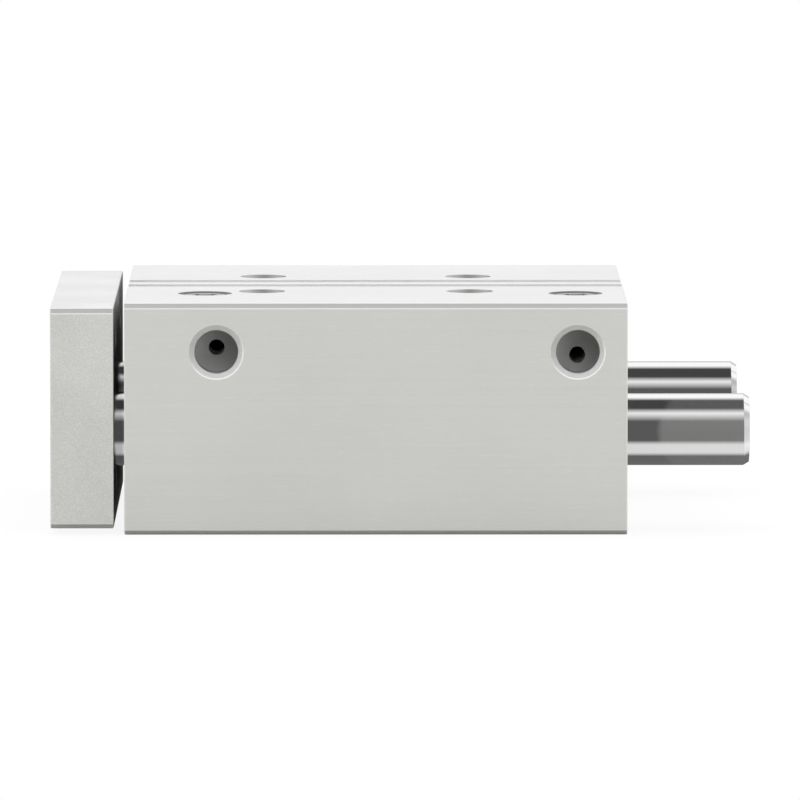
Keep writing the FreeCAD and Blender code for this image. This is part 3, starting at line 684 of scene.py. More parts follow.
@dataclass(frozen=True)
class BarFinish(Finish):
    """Natural anodised extrusion, and what is cut into it.

    Strokes run along X outside, the ends are sawn, the ports are threaded, the counterbores bare metal. Painted shade
    darkens the ports and the countersinks round the plugs, a painted reflection the chamfers; painted light brightens
    the slots' walls and the countersinks below the ports; the counterbores carry a painted gleam.

    Attributes:
        section: the bar's section.
        ends: the two end stations along X.
        ports: the two side ports, by X and Z.
        plugged: the two plugged ports on the top, by X and Y, out to their countersinks.
        counterbore: the counterbore on the +X, +Y side, whose mirror images are the other three.
        slots: where the two sensor slots lie: middle of the pair, half their pitch, half a channel, depth.
        port: looks of the side ports.
        cut_depth: depth by which every port and counterbore has ended.
        fleck: length and breadth of a stroke.
        fleck_height: height of the strokes against the arcs'.
        draw: length and breadth of the long lines that the die leaves.
        cloud: size of the slow drift.
        cloud_swing: how much it changes the roughness.
        saw_axis: height of the axis that the saw's arcs on the ends lie round.
        saw_pitch: distance between those arcs.
        saw_edge: depths behind an end face between which they set in.
        tone_shares: part of the strokes, the drift, the lines and the arcs in the tone.
        spread: how far the tone takes the colour from its middle.
        relief: height of all these marks.
        bare_colour: colour of the counterbores.
        bare_tones: share of it on the darkest and lightest parts of the painted gleam.
        bare_roughness: roughness of the counterbores.
        bare_metallic: how metallic they are.
        painted_gleam: painted light and shade on their walls: its level, how it changes from one side to the other, and
            how it does from flank to flank.
        sunk_shade: share of the colour left on the countersinks round the plugs, painted shade.
        slot_light_share: how far the sensor slots' walls take the edges' colour, painted light on their shaded walls.
    """

    section: BarSection | None = None
    ends: tuple[float, float] = (0.0, 0.0)
    ports: tuple[HolePlace, ...] = ()
    plugged: tuple[HolePlace, ...] = ()
    counterbore: HolePlace | None = None
    slots: tuple[float, float, float, float] = (0.0, 0.0, 0.0, 0.0)
    port: PortFinish = PortFinish()
    cut_depth: float = 13.0 * MM
    fleck: tuple[float, float] = (2.4 * MM, 0.18 * MM)
    fleck_height: float = 0.35
    draw: tuple[float, float] = (90.0 * MM, 0.45 * MM)
    cloud: float = 35 * MM
    cloud_swing: float = 0.03
    saw_axis: float = -60 * MM
    saw_pitch: float = 0.35 * MM
    saw_edge: tuple[float, float] = (0.06 * MM, 0.02 * MM)
    tone_shares: tuple[float, float, float, float] = (0.45, 0.15, 0.45, 0.2)
    spread: float = 0.065
    relief: float = 0.006 * MM
    bare_colour: Colour = (0.80, 0.80, 0.79)
    bare_tones: tuple[float, float] = (0.62, 1.25)
    bare_roughness: float = 0.30
    bare_metallic: float = 0.45
    painted_gleam: tuple[float, float, float] = (0.22, -0.28, -0.31)
    sunk_shade: float = 0.23
    slot_light_share: float = 0.15

    def surface(self, sheet: SkinSheet) -> Skin:
        """Adds strokes and slow drift, arcs on the ends, and the painted shade, light and reflection in the holes,
        slots and corners.

        Args:
            sheet: the material's sheet.

        Returns:
            The skin.
        """
        strokes, drawn = (sheet.effect(Effects.flecks(), Length=length, Breadth=breadth)
                          for length, breadth in (self.fleck, self.draw))
        cloud = sheet.effect(Effects.drift(), Size=self.cloud)["Tone"]
        arcs = sheet.effect(Effects.turning(), Axis_Y=0.0, Axis_Z=self.saw_axis, Pitch=self.saw_pitch)
        half = (self.ends[1] - self.ends[0]) / 2
        sawn = sheet.ramp(sheet.apart(sheet.parts[0], sum(self.ends) / 2), *(half - edge for edge in self.saw_edge))
        tone: object = 0.0
        for share, source in zip(self.tone_shares, (strokes["Mask"], cloud, drawn["Height"],
                                                    sheet.times(arcs["Mask"], sawn))):
            tone = sheet.times_plus(source, share, tone)
        colour = self.toned(sheet, tone, self.spread)

        inside, climb, painted_wall_light, rim, lower, highlight_lip = self._port_walls(sheet)
        bored, painted_gleam, sunk, slotted = self._top_cuts(sheet)
        flat, chamfer, line = self.section.corners(sheet, self.colour)
        # Painted shade in the side ports, lighter towards one side by painted light.
        port = sheet.blend(painted_wall_light, *(shade(self.colour, share) for share in self.port.wall_shades))
        # Countersinks painted lighter below than above, with a painted highlight lip.
        bare = self.port.rim(sheet, lower, highlight_lip, self.painted_edge_colour)
        # Painted gleam: light and shade painted on the counterbores' walls.
        wall = sheet.blend(painted_gleam, *(shade(self.bare_colour, share) for share in self.bare_tones))
        # Painted reflection on the chamfers, painted shade on the countersinks round the plugs, painted highlight
        # lines, painted light on the slots' walls.
        for mask, there in ((flat, chamfer), (sunk, shade(self.colour, self.sunk_shade)), (inside, port), (rim, bare),
                            (line, self.painted_edge_colour), (sheet.times(slotted, self.slot_light_share), self.painted_edge_colour),
                            (bored, wall)):
            colour = sheet.blend(mask, colour, there)

        rough = sheet.times_plus(cloud, self.cloud_swing, self.roughened(sheet, strokes["Height"]))
        rough = sheet.ramp(bored, 0.0, 1.0, rough, self.bare_roughness)
        height = sheet.plus(sheet.times(strokes["Height"], self.fleck_height), sheet.times(arcs["Height"], sawn),
                            sheet.times(climb, inside, self.port.thread_height))
        metal = sheet.ramp(bored, 0.0, 1.0, self.metallic, self.bare_metallic)
        return Skin(colour, rough, height, self.relief, sheet.ramp(rim, 0.0, 1.0, metal, 0.0))

    def _port_walls(self, sheet: SkinSheet) -> tuple[Socket, ...]:
        """Marks the side ports, down to their own depth.

        Args:
            sheet: the material's sheet.

        Returns:
            Mask of the walls with painted shade, the thread's height, the painted light across the walls, mask of the
            countersinks, how far down in them a point is, and mask of their painted highlight lips.
        """
        both = zip(*(self.port.masks(sheet, port) for port in self.ports))
        mask, climb, painted_wall_light, mouth, lower, highlight_lip = (sheet.maths("MAXIMUM", *pair) for pair in both)
        depth = sheet.plus(sheet.parts[1], self.section.half)
        start = sheet.ramp(lower, *self.port.lowest_walls, *self.port.starts)
        inside = sheet.times(mask, sheet.between(depth, start, self.cut_depth))
        rim = sheet.times(mouth, sheet.between(depth, 0.02 * MM, self.port.starts[1]))
        return inside, climb, painted_wall_light, sheet.maths("SUBTRACT", rim, inside, clamp=True), lower, highlight_lip

    def _top_cuts(self, sheet: SkinSheet) -> tuple[Socket, ...]:
        """Marks what is cut into the top.

        Args:
            sheet: the material's sheet.

        Returns:
            Masks of the counterbores, the painted gleam of their walls, painted light and shade which depends on the
            direction from their axis, and masks of the countersinks round the plugs, for painted shade, and of the
            slots' walls, for painted light. With s the distance along X from the axis over the radius, the painted
            gleam follows s and 8 s^2 (s^2 - 1), which is cos 4a - 1.
        """
        x, y, z = sheet.parts
        under = sheet.between(z, self.section.high - self.cut_depth, self.section.high - HAIR)
        near, side, _ = self.counterbore.reach(sheet, sheet.maths("ABSOLUTE", x), sheet.maths("ABSOLUTE", y))
        side = sheet.maths("DIVIDE", sheet.times(side, sheet.maths("SIGN", x)), self.counterbore.radius)
        square = sheet.times(side, side)
        wave = sheet.times(square, 8.0, sheet.minus(square, 1.0))
        level, across, flank = self.painted_gleam
        painted_gleam = sheet.times_plus(side, across, sheet.times_plus(wave, flank, level), clamp=True)
        sunk = sheet.maths("MAXIMUM", *(hole.reach(sheet, x, y)[0] for hole in self.plugged))
        middle, pitch, half, depth = self.slots
        off = sheet.apart(sheet.apart(y, middle), pitch)
        channel = sheet.times(sheet.maths("LESS_THAN", off, half + SKIM), under)
        shallow = sheet.maths("GREATER_THAN", z, self.section.high - depth - SKIM)
        return sheet.times(near, under), painted_gleam, sheet.times(sunk, under), sheet.times(channel, shallow)


@dataclass(frozen=True)
class BlastedFinish(Finish):
    """Blasted and anodised plate.

    Attributes:
        section: the plate's section.
        rear_x: its face towards the housing.
        grain: size of a dimple.
        cloud: size of the slow drift.
        dimple_share: part of the dimples in the tone, the rest being the drift.
        spread: how far the tone takes the colour from its middle.
        relief: height of the dimples.
        rear_shade: share of the colour left on the face towards the housing, painted shade in the narrow gap.
    """

    swing: float = 0.12
    section: BarSection | None = None
    rear_x: float = 0.0
    grain: float = 0.32 * MM
    cloud: float = 28 * MM
    dimple_share: float = 0.65
    spread: float = 0.12
    relief: float = 0.03 * MM
    rear_shade: float = 0.38

    def surface(self, sheet: SkinSheet) -> Skin:
        """Adds dimples everywhere, over a slow drift of tone, the chamfers' painted reflection with their painted
        highlight lines, and painted shade on the face towards the housing.

        Args:
            sheet: the material's sheet.

        Returns:
            The skin.
        """
        dimples = sheet.effect(Effects.speckle(), Size=self.grain)
        cloud = sheet.effect(Effects.drift(), Size=self.cloud)["Tone"]
        tone = sheet.times_plus(dimples["Mask"], self.dimple_share, sheet.times(cloud, 1 - self.dimple_share))
        rear = sheet.maths("GREATER_THAN", sheet.parts[0], self.rear_x - SKIM)
        flat, chamfer, line = self.section.corners(sheet, self.colour)
        colour = self.toned(sheet, tone, self.spread)
        # Painted reflection on the chamfers, painted shade on the face towards the housing, painted highlight lines.
        for mask, there in ((flat, chamfer), (rear, shade(self.colour, self.rear_shade)), (line, self.painted_edge_colour)):
            colour = sheet.blend(mask, colour, there)
        return Skin(colour, self.roughened(sheet, dimples["Height"]), dimples["Height"], self.relief)


@dataclass(frozen=True)
class GroundFinish(Finish):
    """Hard chrome, ground: faint rings round the rod and a lathe's marks on its ends.

    Attributes:
        axis: place of the rod's axis across and up.
        pitch: distance between the rings.
        relief: height of the rings.
        spread: how far the tone takes the colour from its middle.
        cloud: size of the slow drift.
        cloud_swing: how much it changes the roughness.
        lit_x: station past which the rod is less metallic, painted light where the housing's shadow ends, or None for
            none.
        lit_dullness: how much less metallic it is at the height of the axis.
        lit_bow: how much further along X it begins, for the square of the height from the axis.
        lit_soft: half the width of its start.
        lit_rise: heights from the axis between which the painted light grows weaker.
        lit_left: share of it that is left there.
        plate_end: station before which the rod is darker beside the plate, painted shade.
        plate_soft: half the width of that change.
        plate_shade: share of the colour left there.
    """

    swing: float = 0.03
    axis: tuple[float, float] = (0.0, 0.0)
    pitch: float = 0.22 * MM
    relief: float = 0.0004 * MM
    spread: float = 0.02
    cloud: float = 12 * MM
    cloud_swing: float = 0.02
    lit_x: float | None = None
    lit_dullness: float = 0.13
    lit_bow: float = 0.055 / MM
    lit_soft: float = 0.9 * MM
    lit_rise: tuple[float, float] = (2.0 * MM, 5.4 * MM)
    lit_left: float = 0.38
    plate_end: float = -53.9 * MM
    plate_soft: float = 0.5 * MM
    plate_shade: float = 0.62

    def surface(self, sheet: SkinSheet) -> Skin:
        """Adds rings with almost no height, a slow drift of roughness, painted shade beside the plate and, on the near
        guide rod, painted light made by less metal.

        Args:
            sheet: the material's sheet.

        Returns:
            The skin.
        """
        x, _, z = sheet.parts
        rings = sheet.effect(Effects.turning(), Axis_Y=self.axis[0], Axis_Z=self.axis[1], Pitch=self.pitch)
        cloud = sheet.effect(Effects.drift(), Size=self.cloud)["Tone"]
        rough = sheet.times_plus(cloud, self.cloud_swing, self.roughened(sheet, rings["Mask"], middle=0.0))
        # Painted shade: the rod darker beside the plate.
        beside = sheet.ramp(x, self.plate_end - self.plate_soft, self.plate_end + self.plate_soft, 1.0, 0.0)
        colour = sheet.blend(beside, self.toned(sheet, rings["Mask"], self.spread), shade(self.colour, self.plate_shade))
        skin = Skin(colour, rough, rings["Height"], self.relief)
        # Painted light: past lit_x the rod is less metallic, which stands for light beyond the housing's shadow.
        if self.lit_x is not None:
            rise = sheet.minus(z, self.axis[1])
            start = sheet.minus(x, sheet.times(rise, rise, self.lit_bow))
            past = sheet.ramp(start, self.lit_x - self.lit_soft, self.lit_x + self.lit_soft)
            side = sheet.ramp(sheet.maths("ABSOLUTE", rise), *self.lit_rise, self.lit_dullness, self.lit_left * self.lit_dullness)
            skin.metal = sheet.minus(1.0, sheet.times(past, side))
        return skin


@dataclass(frozen=True)
class TurnedFinish(Finish):
    """Metal or plastic straight off the lathe.

    Attributes:
        axis: place of the turned axis across and up.
        pitch: feed of the tool.
        relief: height of its marks.
        spread: how far the tone takes the colour from its middle.
        dust: size of the speckle.
        dust_share: part of the speckle in the tone, the rest being the rings.
        dust_height: height of the speckle against the rings'.
    """

    swing: float = 0.08
    axis: tuple[float, float] = (0.0, 0.0)
    pitch: float = 0.3 * MM
    relief: float = 0.004 * MM
    spread: float = 0.08
    dust: float = 0.25 * MM
    dust_share: float = 0.4
    dust_height: float = 0.15

    def surface(self, sheet: SkinSheet) -> Skin:
        """Adds rings round the axis, with fine speckle between them.

        Args:
            sheet: the material's sheet.

        Returns:
            The skin.
        """
        rings = sheet.effect(Effects.turning(), Axis_Y=self.axis[0], Axis_Z=self.axis[1], Pitch=self.pitch)
        dust = sheet.effect(Effects.speckle(), Size=self.dust)
        tone = sheet.times_plus(rings["Mask"], 1 - self.dust_share, sheet.times(dust["Mask"], self.dust_share))
        rough = self.roughened(sheet, rings["Mask"], middle=0.375)
        height = sheet.times_plus(dust["Height"], self.dust_height, rings["Height"])
        return Skin(self.toned(sheet, tone, self.spread), rough, height, self.relief)


@dataclass(frozen=True)
class CoatedFinish(Finish):
    """Plated or phosphated steel, and moulded rubber: an even skin with a fine grain.

    Attributes:
        grain: size of the grain.
        grain_share: part of the grain in the tone, the rest being the drift.
        cloud: size of the slow drift.
        relief: height of the grain.
        spread: how far the tone takes the colour from its middle.
    """

    grain: float = 0.2 * MM
    grain_share: float = 0.4
    cloud: float = 5 * MM
    relief: float = 0.005 * MM
    spread: float = 0.12

    def surface(self, sheet: SkinSheet) -> Skin:
        """Adds grain over a slow drift of tone and shine.

        Args:
            sheet: the material's sheet.

        Returns:
            The skin.
        """
        grain = sheet.effect(Effects.speckle(), Size=self.grain)
        cloud = sheet.effect(Effects.drift(), Size=self.cloud)["Tone"]
        tone = sheet.times_plus(grain["Mask"], self.grain_share, sheet.times(cloud, 1 - self.grain_share))
        colour = self.toned(sheet, tone, self.spread)
        return Skin(colour, self.roughened(sheet, cloud), grain["Height"], self.relief)


@dataclass(frozen=True)
class SocketFinish(CoatedFinish):
    """Plated plugs whose sockets carry a painted reflection of the room: the two flats across Y painted light, the
    other four painted dark.

    Attributes:
        centres: places of the two axes along X.
        row: their row across.
        top: height of their outer faces.
        socket: radius of a socket, to its corners.
        reflection_flat_tones: share of the colour on the painted light flats and on the painted dark ones.
    """

    centres: tuple[float, float] = (0.0, 0.0)
    row: float = 0.0
    top: float = 0.0
    socket: float = 3.0 * MM
    reflection_flat_tones: tuple[float, float] = (1.45, 0.36)

    def surface(self, sheet: SkinSheet) -> Skin:
        """Adds the sockets' flats with their painted reflection, told apart by cos^2 of the direction from the nearer
        axis, 1/4 at their corners.

        Args:
            sheet: the material's sheet.

        Returns:
            The skin.
        """
        corner, soft = 0.25, 0.03
        skin = super().surface(sheet)
        x, y, z = sheet.parts
        nearer = HolePlace((self.centres[1] - self.centres[0]) / 2, self.row, self.socket)
        within, side, rise = nearer.reach(sheet, sheet.apart(x, sum(self.centres) / 2), y)
        square = sheet.times(side, side)
        fan = sheet.maths("DIVIDE", square, sheet.times_plus(rise, rise, square))
        # Painted reflection: the two flats across Y light, the other four dark.
        light, dark = (sheet.scaled(skin.colour, (share,) * 3) for share in self.reflection_flat_tones)
        flats = sheet.blend(sheet.ramp(fan, corner - soft, corner + soft), light, dark)
        inside = sheet.times(within, sheet.maths("LESS_THAN", z, self.top - HAIR))
        skin.colour = sheet.blend(inside, skin.colour, flats)
        return skin


def mesh_object(name: str, points: np.ndarray, faces: np.ndarray) -> bpy.types.Object:
    """Makes a mesh object at the origin from whole arrays, with smooth shading.

    Args:
        name: the object's name.
        points: vertices, with their three coordinates last.
        faces: four vertex numbers a row.

    Returns:
        The linked object.
    """
    mesh = bpy.data.meshes.new(name)
    mesh.from_pydata(points.reshape(-1, 3).tolist(), [], faces.tolist())
    mesh.validate()
    mesh.polygons.foreach_set("use_smooth", np.full(len(mesh.polygons), True))
    return linked(name, mesh)


def linked(name: str, data: bpy.types.ID) -> bpy.types.Object:
    """Makes an object in the scene.

    Args:
        name: the object's name.
        data: its mesh, camera or lamp.

    Returns:
        The object.
    """
    made = bpy.data.objects.new(name, data)
    bpy.context.scene.collection.objects.link(made)
    return made


def emptied(owner: bpy.types.ID) -> tuple[bpy.types.ID, Sheet]:
    """Gives a new material or world an empty node tree.

    Args:
        owner: the material or world.

    Returns:
        The same one, and the sheet to fill.
    """
    owner.use_nodes = True
    owner.node_tree.nodes.clear()
    return owner, Sheet(owner.node_tree)


def grid_faces(rows: int, columns: int, closed: bool) -> np.ndarray:
    """Numbers the quads of a grid of points: each joins a point to its neighbours in the next row and column.

    Args:
        rows: number of rows.
        columns: number of columns.
        closed: whether the last column joins the first.

    Returns:
        Four vertex numbers a row.
    """
    row, column = np.meshgrid(np.arange(rows - 1), np.arange(columns if closed else columns - 1), indexing="ij")
    after = (column + 1) % columns
    corners = (row * columns + column, row * columns + after, (row + 1) * columns + after, (row + 1) * columns + column)
    return np.stack([c.ravel() for c in corners], axis=1)


@dataclass
class SocketPiece:
    """A screw or plug with a hexagon socket, as one closed surface round its axis.

    Attributes:
        centre: where its axis meets the outer face of its head.
        inward: unit vector along the axis, into the part.
        profile: (depth, radius) pairs from the tip to the outer edge of the head's face.
        across_flats: size of the socket.
        socket_depth: depth of the socket.
        columns: points round the axis.
    """

    centre: Point
    inward: Point
    profile: tuple[tuple[float, float], ...]
    across_flats: float
    socket_depth: float
    columns: int = 72

    def surface(self) -> np.ndarray:
        """Works out the points of the closed surface.

        Each row is a ring at one depth. The outer rows have the profile's radius at every angle. In the socket the
        radius at an angle is half the width across flats over the cosine of the angle to the nearest flat's middle,
        which draws the hexagon, a little wider at its mouth, and the last rows close on the axis with the drill's
        cone.

        Returns:
            Array of rings, angles and three coordinates.
        """
        wider, drill, cone = 0.04, 0.9, 0.5
        angle = np.linspace(0.0, math.tau, self.columns, endpoint=False)
        sector = math.tau / 6
        flat = self.across_flats / 2
        hexagon = flat / np.cos((angle % sector) - sector / 2)
        plain = np.ones_like(angle)
        rings = [(depth, radius * plain) for depth, radius in self.profile]
        rings += [(0.0, (1 + wider) * hexagon), (wider * flat, hexagon), (self.socket_depth, hexagon),
                  (self.socket_depth, drill * flat * plain), (self.socket_depth + cone * flat, 0.0 * plain)]
        depth = np.array([ring[0] for ring in rings])[:, None, None]
        radius = np.array([ring[1] for ring in rings])[..., None]
        inward = np.array(self.inward)
        first = np.array((0.0, 1.0, 0.0)) if abs(self.inward[0]) > 0.5 else np.array((1.0, 0.0, 0.0))
        second = np.cross(inward, first)
        around = np.cos(angle)[:, None] * first + np.sin(angle)[:, None] * second
        return np.array(self.centre) + depth * inward + radius * around


def socket_object(name: str, *pieces: SocketPiece, crease: float = 40.0) -> bpy.types.Object:
    """Joins socket pieces into one mesh, with its poles merged and its faces turned outward.

    Args:
        name: the object's name.
        pieces: the pieces.
        crease: angle in degrees past which two faces meet in a sharp edge.

    Returns:
        The linked object.
    """
    points, faces, start = [], [], 0
    for piece in pieces:
        rings = piece.surface()
        faces.append(grid_faces(*rings.shape[:2], closed=True) + start)
        points.append(rings.reshape(-1, 3))
        start += points[-1].shape[0]
    made = mesh_object(name, np.concatenate(points), np.concatenate(faces))
    work = bmesh.new()
    work.from_mesh(made.data)
    bmesh.ops.remove_doubles(work, verts=work.verts, dist=SAME_POINT)
    bmesh.ops.recalc_face_normals(work, faces=work.faces)
    for edge in work.edges:
        edge.smooth = edge.calc_face_angle(0.0) < math.radians(crease)
    work.to_mesh(made.data)
    work.free()
    return made


class Assembly:
    """Shared work of the sub-assemblies: giving nodes their finishes and placing new pieces."""

    _materials: dict[Finish, bpy.types.Material] = {}

    def finishes(self) -> dict[str, Finish]:
        """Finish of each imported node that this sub-assembly dresses, by the node's name."""
        return {}

    @classmethod
    def material(cls, finish: Finish) -> bpy.types.Material:
        """Finds the material of a finish, which is built the first time that it is asked for.

        Args:
            finish: the finish.

        Returns:
            Its material.
        """
        if finish not in cls._materials:
            cls._materials[finish] = finish.material()
        return cls._materials[finish]

    def dress(self, nodes: dict[str, bpy.types.Object]) -> None:
        """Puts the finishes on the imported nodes.

        Args:
            nodes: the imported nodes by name.
        """
        for name, finish in self.finishes().items():
            nodes[name].material_slots[0].material = self.material(finish)
            LOG.info("%s: %s, %d faces", name, finish.slot.value, len(nodes[name].data.polygons))

    def place(self, piece: bpy.types.Object, body: Body, finish: Finish, *replaced: str) -> None:
        """Gives a new piece its finish, body, slot and the nodes that it stands for.

        Args:
            piece: the new piece.
            body: the body that it moves with.
            finish: its finish.
            replaced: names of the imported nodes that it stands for.
        """
        piece.data.materials.append(self.material(finish))
        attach(piece, body.value)
        if replaced:
            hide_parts(*replaced)
        LOG.info("%s: %s, %d faces, on %s", piece.name, finish.slot.value, len(piece.data.polygons), body.value)


BORE_AXIS = (0.0, 27.8 * MM)
GUIDE_AXIS = (41.0 * MM, 22.25 * MM)
# Painted highlight on the edges of the anodised housing and plate: white, and not metallic.
PAINTED_EDGE_LOOK = {"metallic": 0.3, "painted_edge_colour": (1.0, 1.0, 1.0), "painted_edge_share": 0.8, "painted_edge_metallic": 0.0}

ZINC = CoatedFinish(Slot.SCREW, (0.50, 0.51, 0.52), 0.30, grain=0.12 * MM, relief=0.002 * MM)
PHOSPHATE = CoatedFinish(Slot.RING, (0.055, 0.055, 0.058), 0.50, metallic=0.7, painted_edge_colour=(0.30, 0.30, 0.30),
                         grain=0.08 * MM, relief=0.004 * MM, spread=0.3)
RUBBER = CoatedFinish(Slot.RUBBER, (0.020, 0.020, 0.021), 0.55, metallic=0.0, painted_edge_colour=(0.06, 0.06, 0.06),
                      grain=0.15 * MM, relief=0.006 * MM, spread=0.3)
BUMPER = CoatedFinish(Slot.BUMPER, (0.045, 0.045, 0.05), 0.60, metallic=0.0, painted_edge_colour=(0.10, 0.10, 0.10),
                      grain=0.3 * MM, relief=0.008 * MM, spread=0.2)
MAGNET = CoatedFinish(Slot.MAGNET, (0.03, 0.028, 0.027), 0.65, metallic=0.0, painted_edge_colour=(0.08, 0.08, 0.08),
                      grain=0.1 * MM, spread=0.3)
BAND = CoatedFinish(Slot.WEAR_RING, (0.16, 0.10, 0.055), 0.50, metallic=0.0, painted_edge_colour=(0.25, 0.18, 0.10),
                    spread=0.2)
BRONZE = TurnedFinish(Slot.BRONZE, (0.62, 0.40, 0.20), 0.38, painted_edge_colour=(0.80, 0.60, 0.36), axis=GUIDE_AXIS)
CAP = TurnedFinish(Slot.CAP, (0.74, 0.745, 0.74), 0.33, axis=BORE_AXIS)


@dataclass
class Housing(Assembly):
    """The extruded block.

    Attributes:
        finish: its finish, with the places of its ends, ports, counterbores and sensor slots.
    """

    finish: BarFinish = BarFinish(
        Slot.HOUSING, (0.86, 0.865, 0.86), 0.46, **PAINTED_EDGE_LOOK, section=BarSection(55.0 * MM, 0.0, 51.5 * MM),
        ends=(-53.6 * MM, 57.9 * MM), counterbore=HolePlace(23.3 * MM, 21.0 * MM, 5.25 * MM),
        ports=tuple(HolePlace(x, 40.65 * MM, 4.865 * MM) for x in (-33.2 * MM, 46.9 * MM)),
        plugged=tuple(HolePlace(x, -26.8 * MM, 6.1 * MM) for x in (-36.0 * MM, 46.9 * MM)),
        slots=(1.5 * MM, 6.1 * MM, 4.1 * MM, 4.8 * MM))

    def finishes(self) -> dict[str, Finish]:
        """The block's own finish, by its node name."""
        return {"housing": self.finish}


@dataclass
class BlankingPlugs(Assembly):
    """The two socket plugs in the top ports, with a chamfered rim and a coned socket.

    Attributes:
        places: node name and place along X of each.
        y: their row across the housing.
        top_z: their outer face.
        radius: outer radius.
        length: length of a plug.
        rim: chamfer of the outer face.
        across_flats: size of the socket.
        socket_depth: its depth.
    """

    places: tuple[tuple[str, float], ...] = (("front_blanking_plug", -36.0 * MM), ("rear_blanking_plug", 46.9 * MM))
    y: float = -26.8 * MM
    top_z: float = 51.2 * MM
    radius: float = 4.815 * MM
    length: float = 7.1 * MM
    rim: float = 0.45 * MM
    across_flats: float = 5.0 * MM
    socket_depth: float = 3.2 * MM

    def build(self) -> None:
        """Builds both plugs."""
        finish = SocketFinish(Slot.SCREW, (0.42, 0.425, 0.43), 0.42, metallic=0.25, grain=0.12 * MM,
                              relief=0.002 * MM, centres=tuple(x for _, x in self.places), row=self.y, top=self.top_z)
        profile = ((self.length, 0.0), (self.length, self.radius - self.rim), (self.length - self.rim, self.radius),
                   (self.rim, self.radius), (0.0, self.radius - self.rim))
        for name, x in self.places:
            piece = SocketPiece((x, self.y, self.top_z), (0.0, 0.0, -1.0), profile, self.across_flats,
                                self.socket_depth)
            self.place(socket_object(name.replace("blanking", "socket"), piece), Body.FIXED, finish, name)


@dataclass
class BoreClosures(Assembly):
    """Caps at both ends of the bore, with their rings, seals, bush and bumpers."""

    def finishes(self) -> dict[str, Finish]:
        """Gives turned caps, dark rings, rubber seals and a bronze bush their finishes.

        Returns:
            Finish by node name.
        """
        return {"front_bearing_cap": CAP, "rear_end_cap": CAP, "front_retaining_ring": PHOSPHATE,
                "rear_retaining_ring": PHOSPHATE, "front_cap_o_ring": RUBBER, "rear_cap_o_ring": RUBBER,
                "rod_wiper": RUBBER, "rod_seal": RUBBER, "rod_bush": replace(BRONZE, axis=BORE_AXIS),
                "front_bumper": BUMPER, "rear_bumper": BUMPER}


@dataclass
class GuideBearings(Assembly):
    """Bushes, wipers and snap rings at the four mouths of the guide bores."""

    def finishes(self) -> dict[str, Finish]:
        """Gives each mouth the same three finishes.

        Returns:
            Finish by node name.
        """
        kinds = {"guide_bush": BRONZE, "guide_wiper": RUBBER, "snap_ring": PHOSPHATE}
        return {f"{side}_{end}_{kind}": finish for side in ("near", "far") for end in ("front", "rear")
                for kind, finish in kinds.items()}


@dataclass
class PlateScrew:
    """One socket head screw through the end plate.

    Attributes:
        y: its place across.
        z: its height.
        head_radius: radius of the head.
        head_height: height of the head.
        shank_radius: radius of the shank.
        shank_length: length under the head.
        across_flats: size of the socket.
        socket_depth: its depth.
    """

    y: float
    z: float
    head_radius: float
    head_height: float
    shank_radius: float
    shank_length: float
    across_flats: float
    socket_depth: float

    def piece(self, face_x: float) -> SocketPiece:
        """Shapes the screw: shank, seat, and a head whose outer edge is rounded by a quarter of a circle.

        Args:
            face_x: station of the head's outer face.

        Returns:
            The piece.
        """
        edge_share, steps = 0.09, 6
        edge = edge_share * self.head_radius
        tip = self.head_height + self.shank_length
        turn = np.linspace(0.0, math.pi / 2, steps)
        rounded = zip(edge * (1 - np.sin(turn)), self.head_radius - edge * (1 - np.cos(turn)))
        profile = ((tip, 0.0), (tip, self.shank_radius), (self.head_height, self.shank_radius),
                   (self.head_height, self.head_radius), *((float(d), float(r)) for d, r in rounded))
        return SocketPiece((face_x, self.y, self.z), (1.0, 0.0, 0.0), profile, self.across_flats, self.socket_depth)


@dataclass
class EndPlate(Assembly):
    """The blasted plate and its three sunk screws.

    Attributes:
        finish: the plate's finish.
        head_x: outer faces of the screw heads.
        guide: sizes of a guide rod's screw.
        piston: sizes of the piston rod's screw.
    """

    finish: BlastedFinish = BlastedFinish(Slot.PLATE, (0.85, 0.855, 0.85), 0.42, **PAINTED_EDGE_LOOK, rear_x=-56.0 * MM,
                                          section=BarSection(54.0 * MM, 1.3 * MM, 50.3 * MM))
    head_x: float = -69.5 * MM
    guide: tuple[float, ...] = (6.5 * MM, 8.0 * MM, 3.95 * MM, 22.0 * MM, 6.0 * MM, 4.0 * MM)
    piston: tuple[float, ...] = (5.0 * MM, 6.0 * MM, 2.95 * MM, 20.0 * MM, 5.0 * MM, 3.0 * MM)

    def finishes(self) -> dict[str, Finish]:
        """The plate's own finish, by its node name."""
        return {"end_plate": self.finish}

    def build(self) -> None:
        """Builds the screws that stand for the plain ones."""
        pair = [PlateScrew(side * GUIDE_AXIS[0], GUIDE_AXIS[1], *self.guide).piece(self.head_x) for side in (-1, 1)]
        self.place(socket_object("guide_rod_socket_screws", *pair), Body.SLIDING, ZINC, "guide_rod_screws")
        middle = PlateScrew(*BORE_AXIS, *self.piston).piece(self.head_x)
        self.place(socket_object("piston_rod_socket_screw", middle), Body.SLIDING, ZINC, "piston_rod_screw")


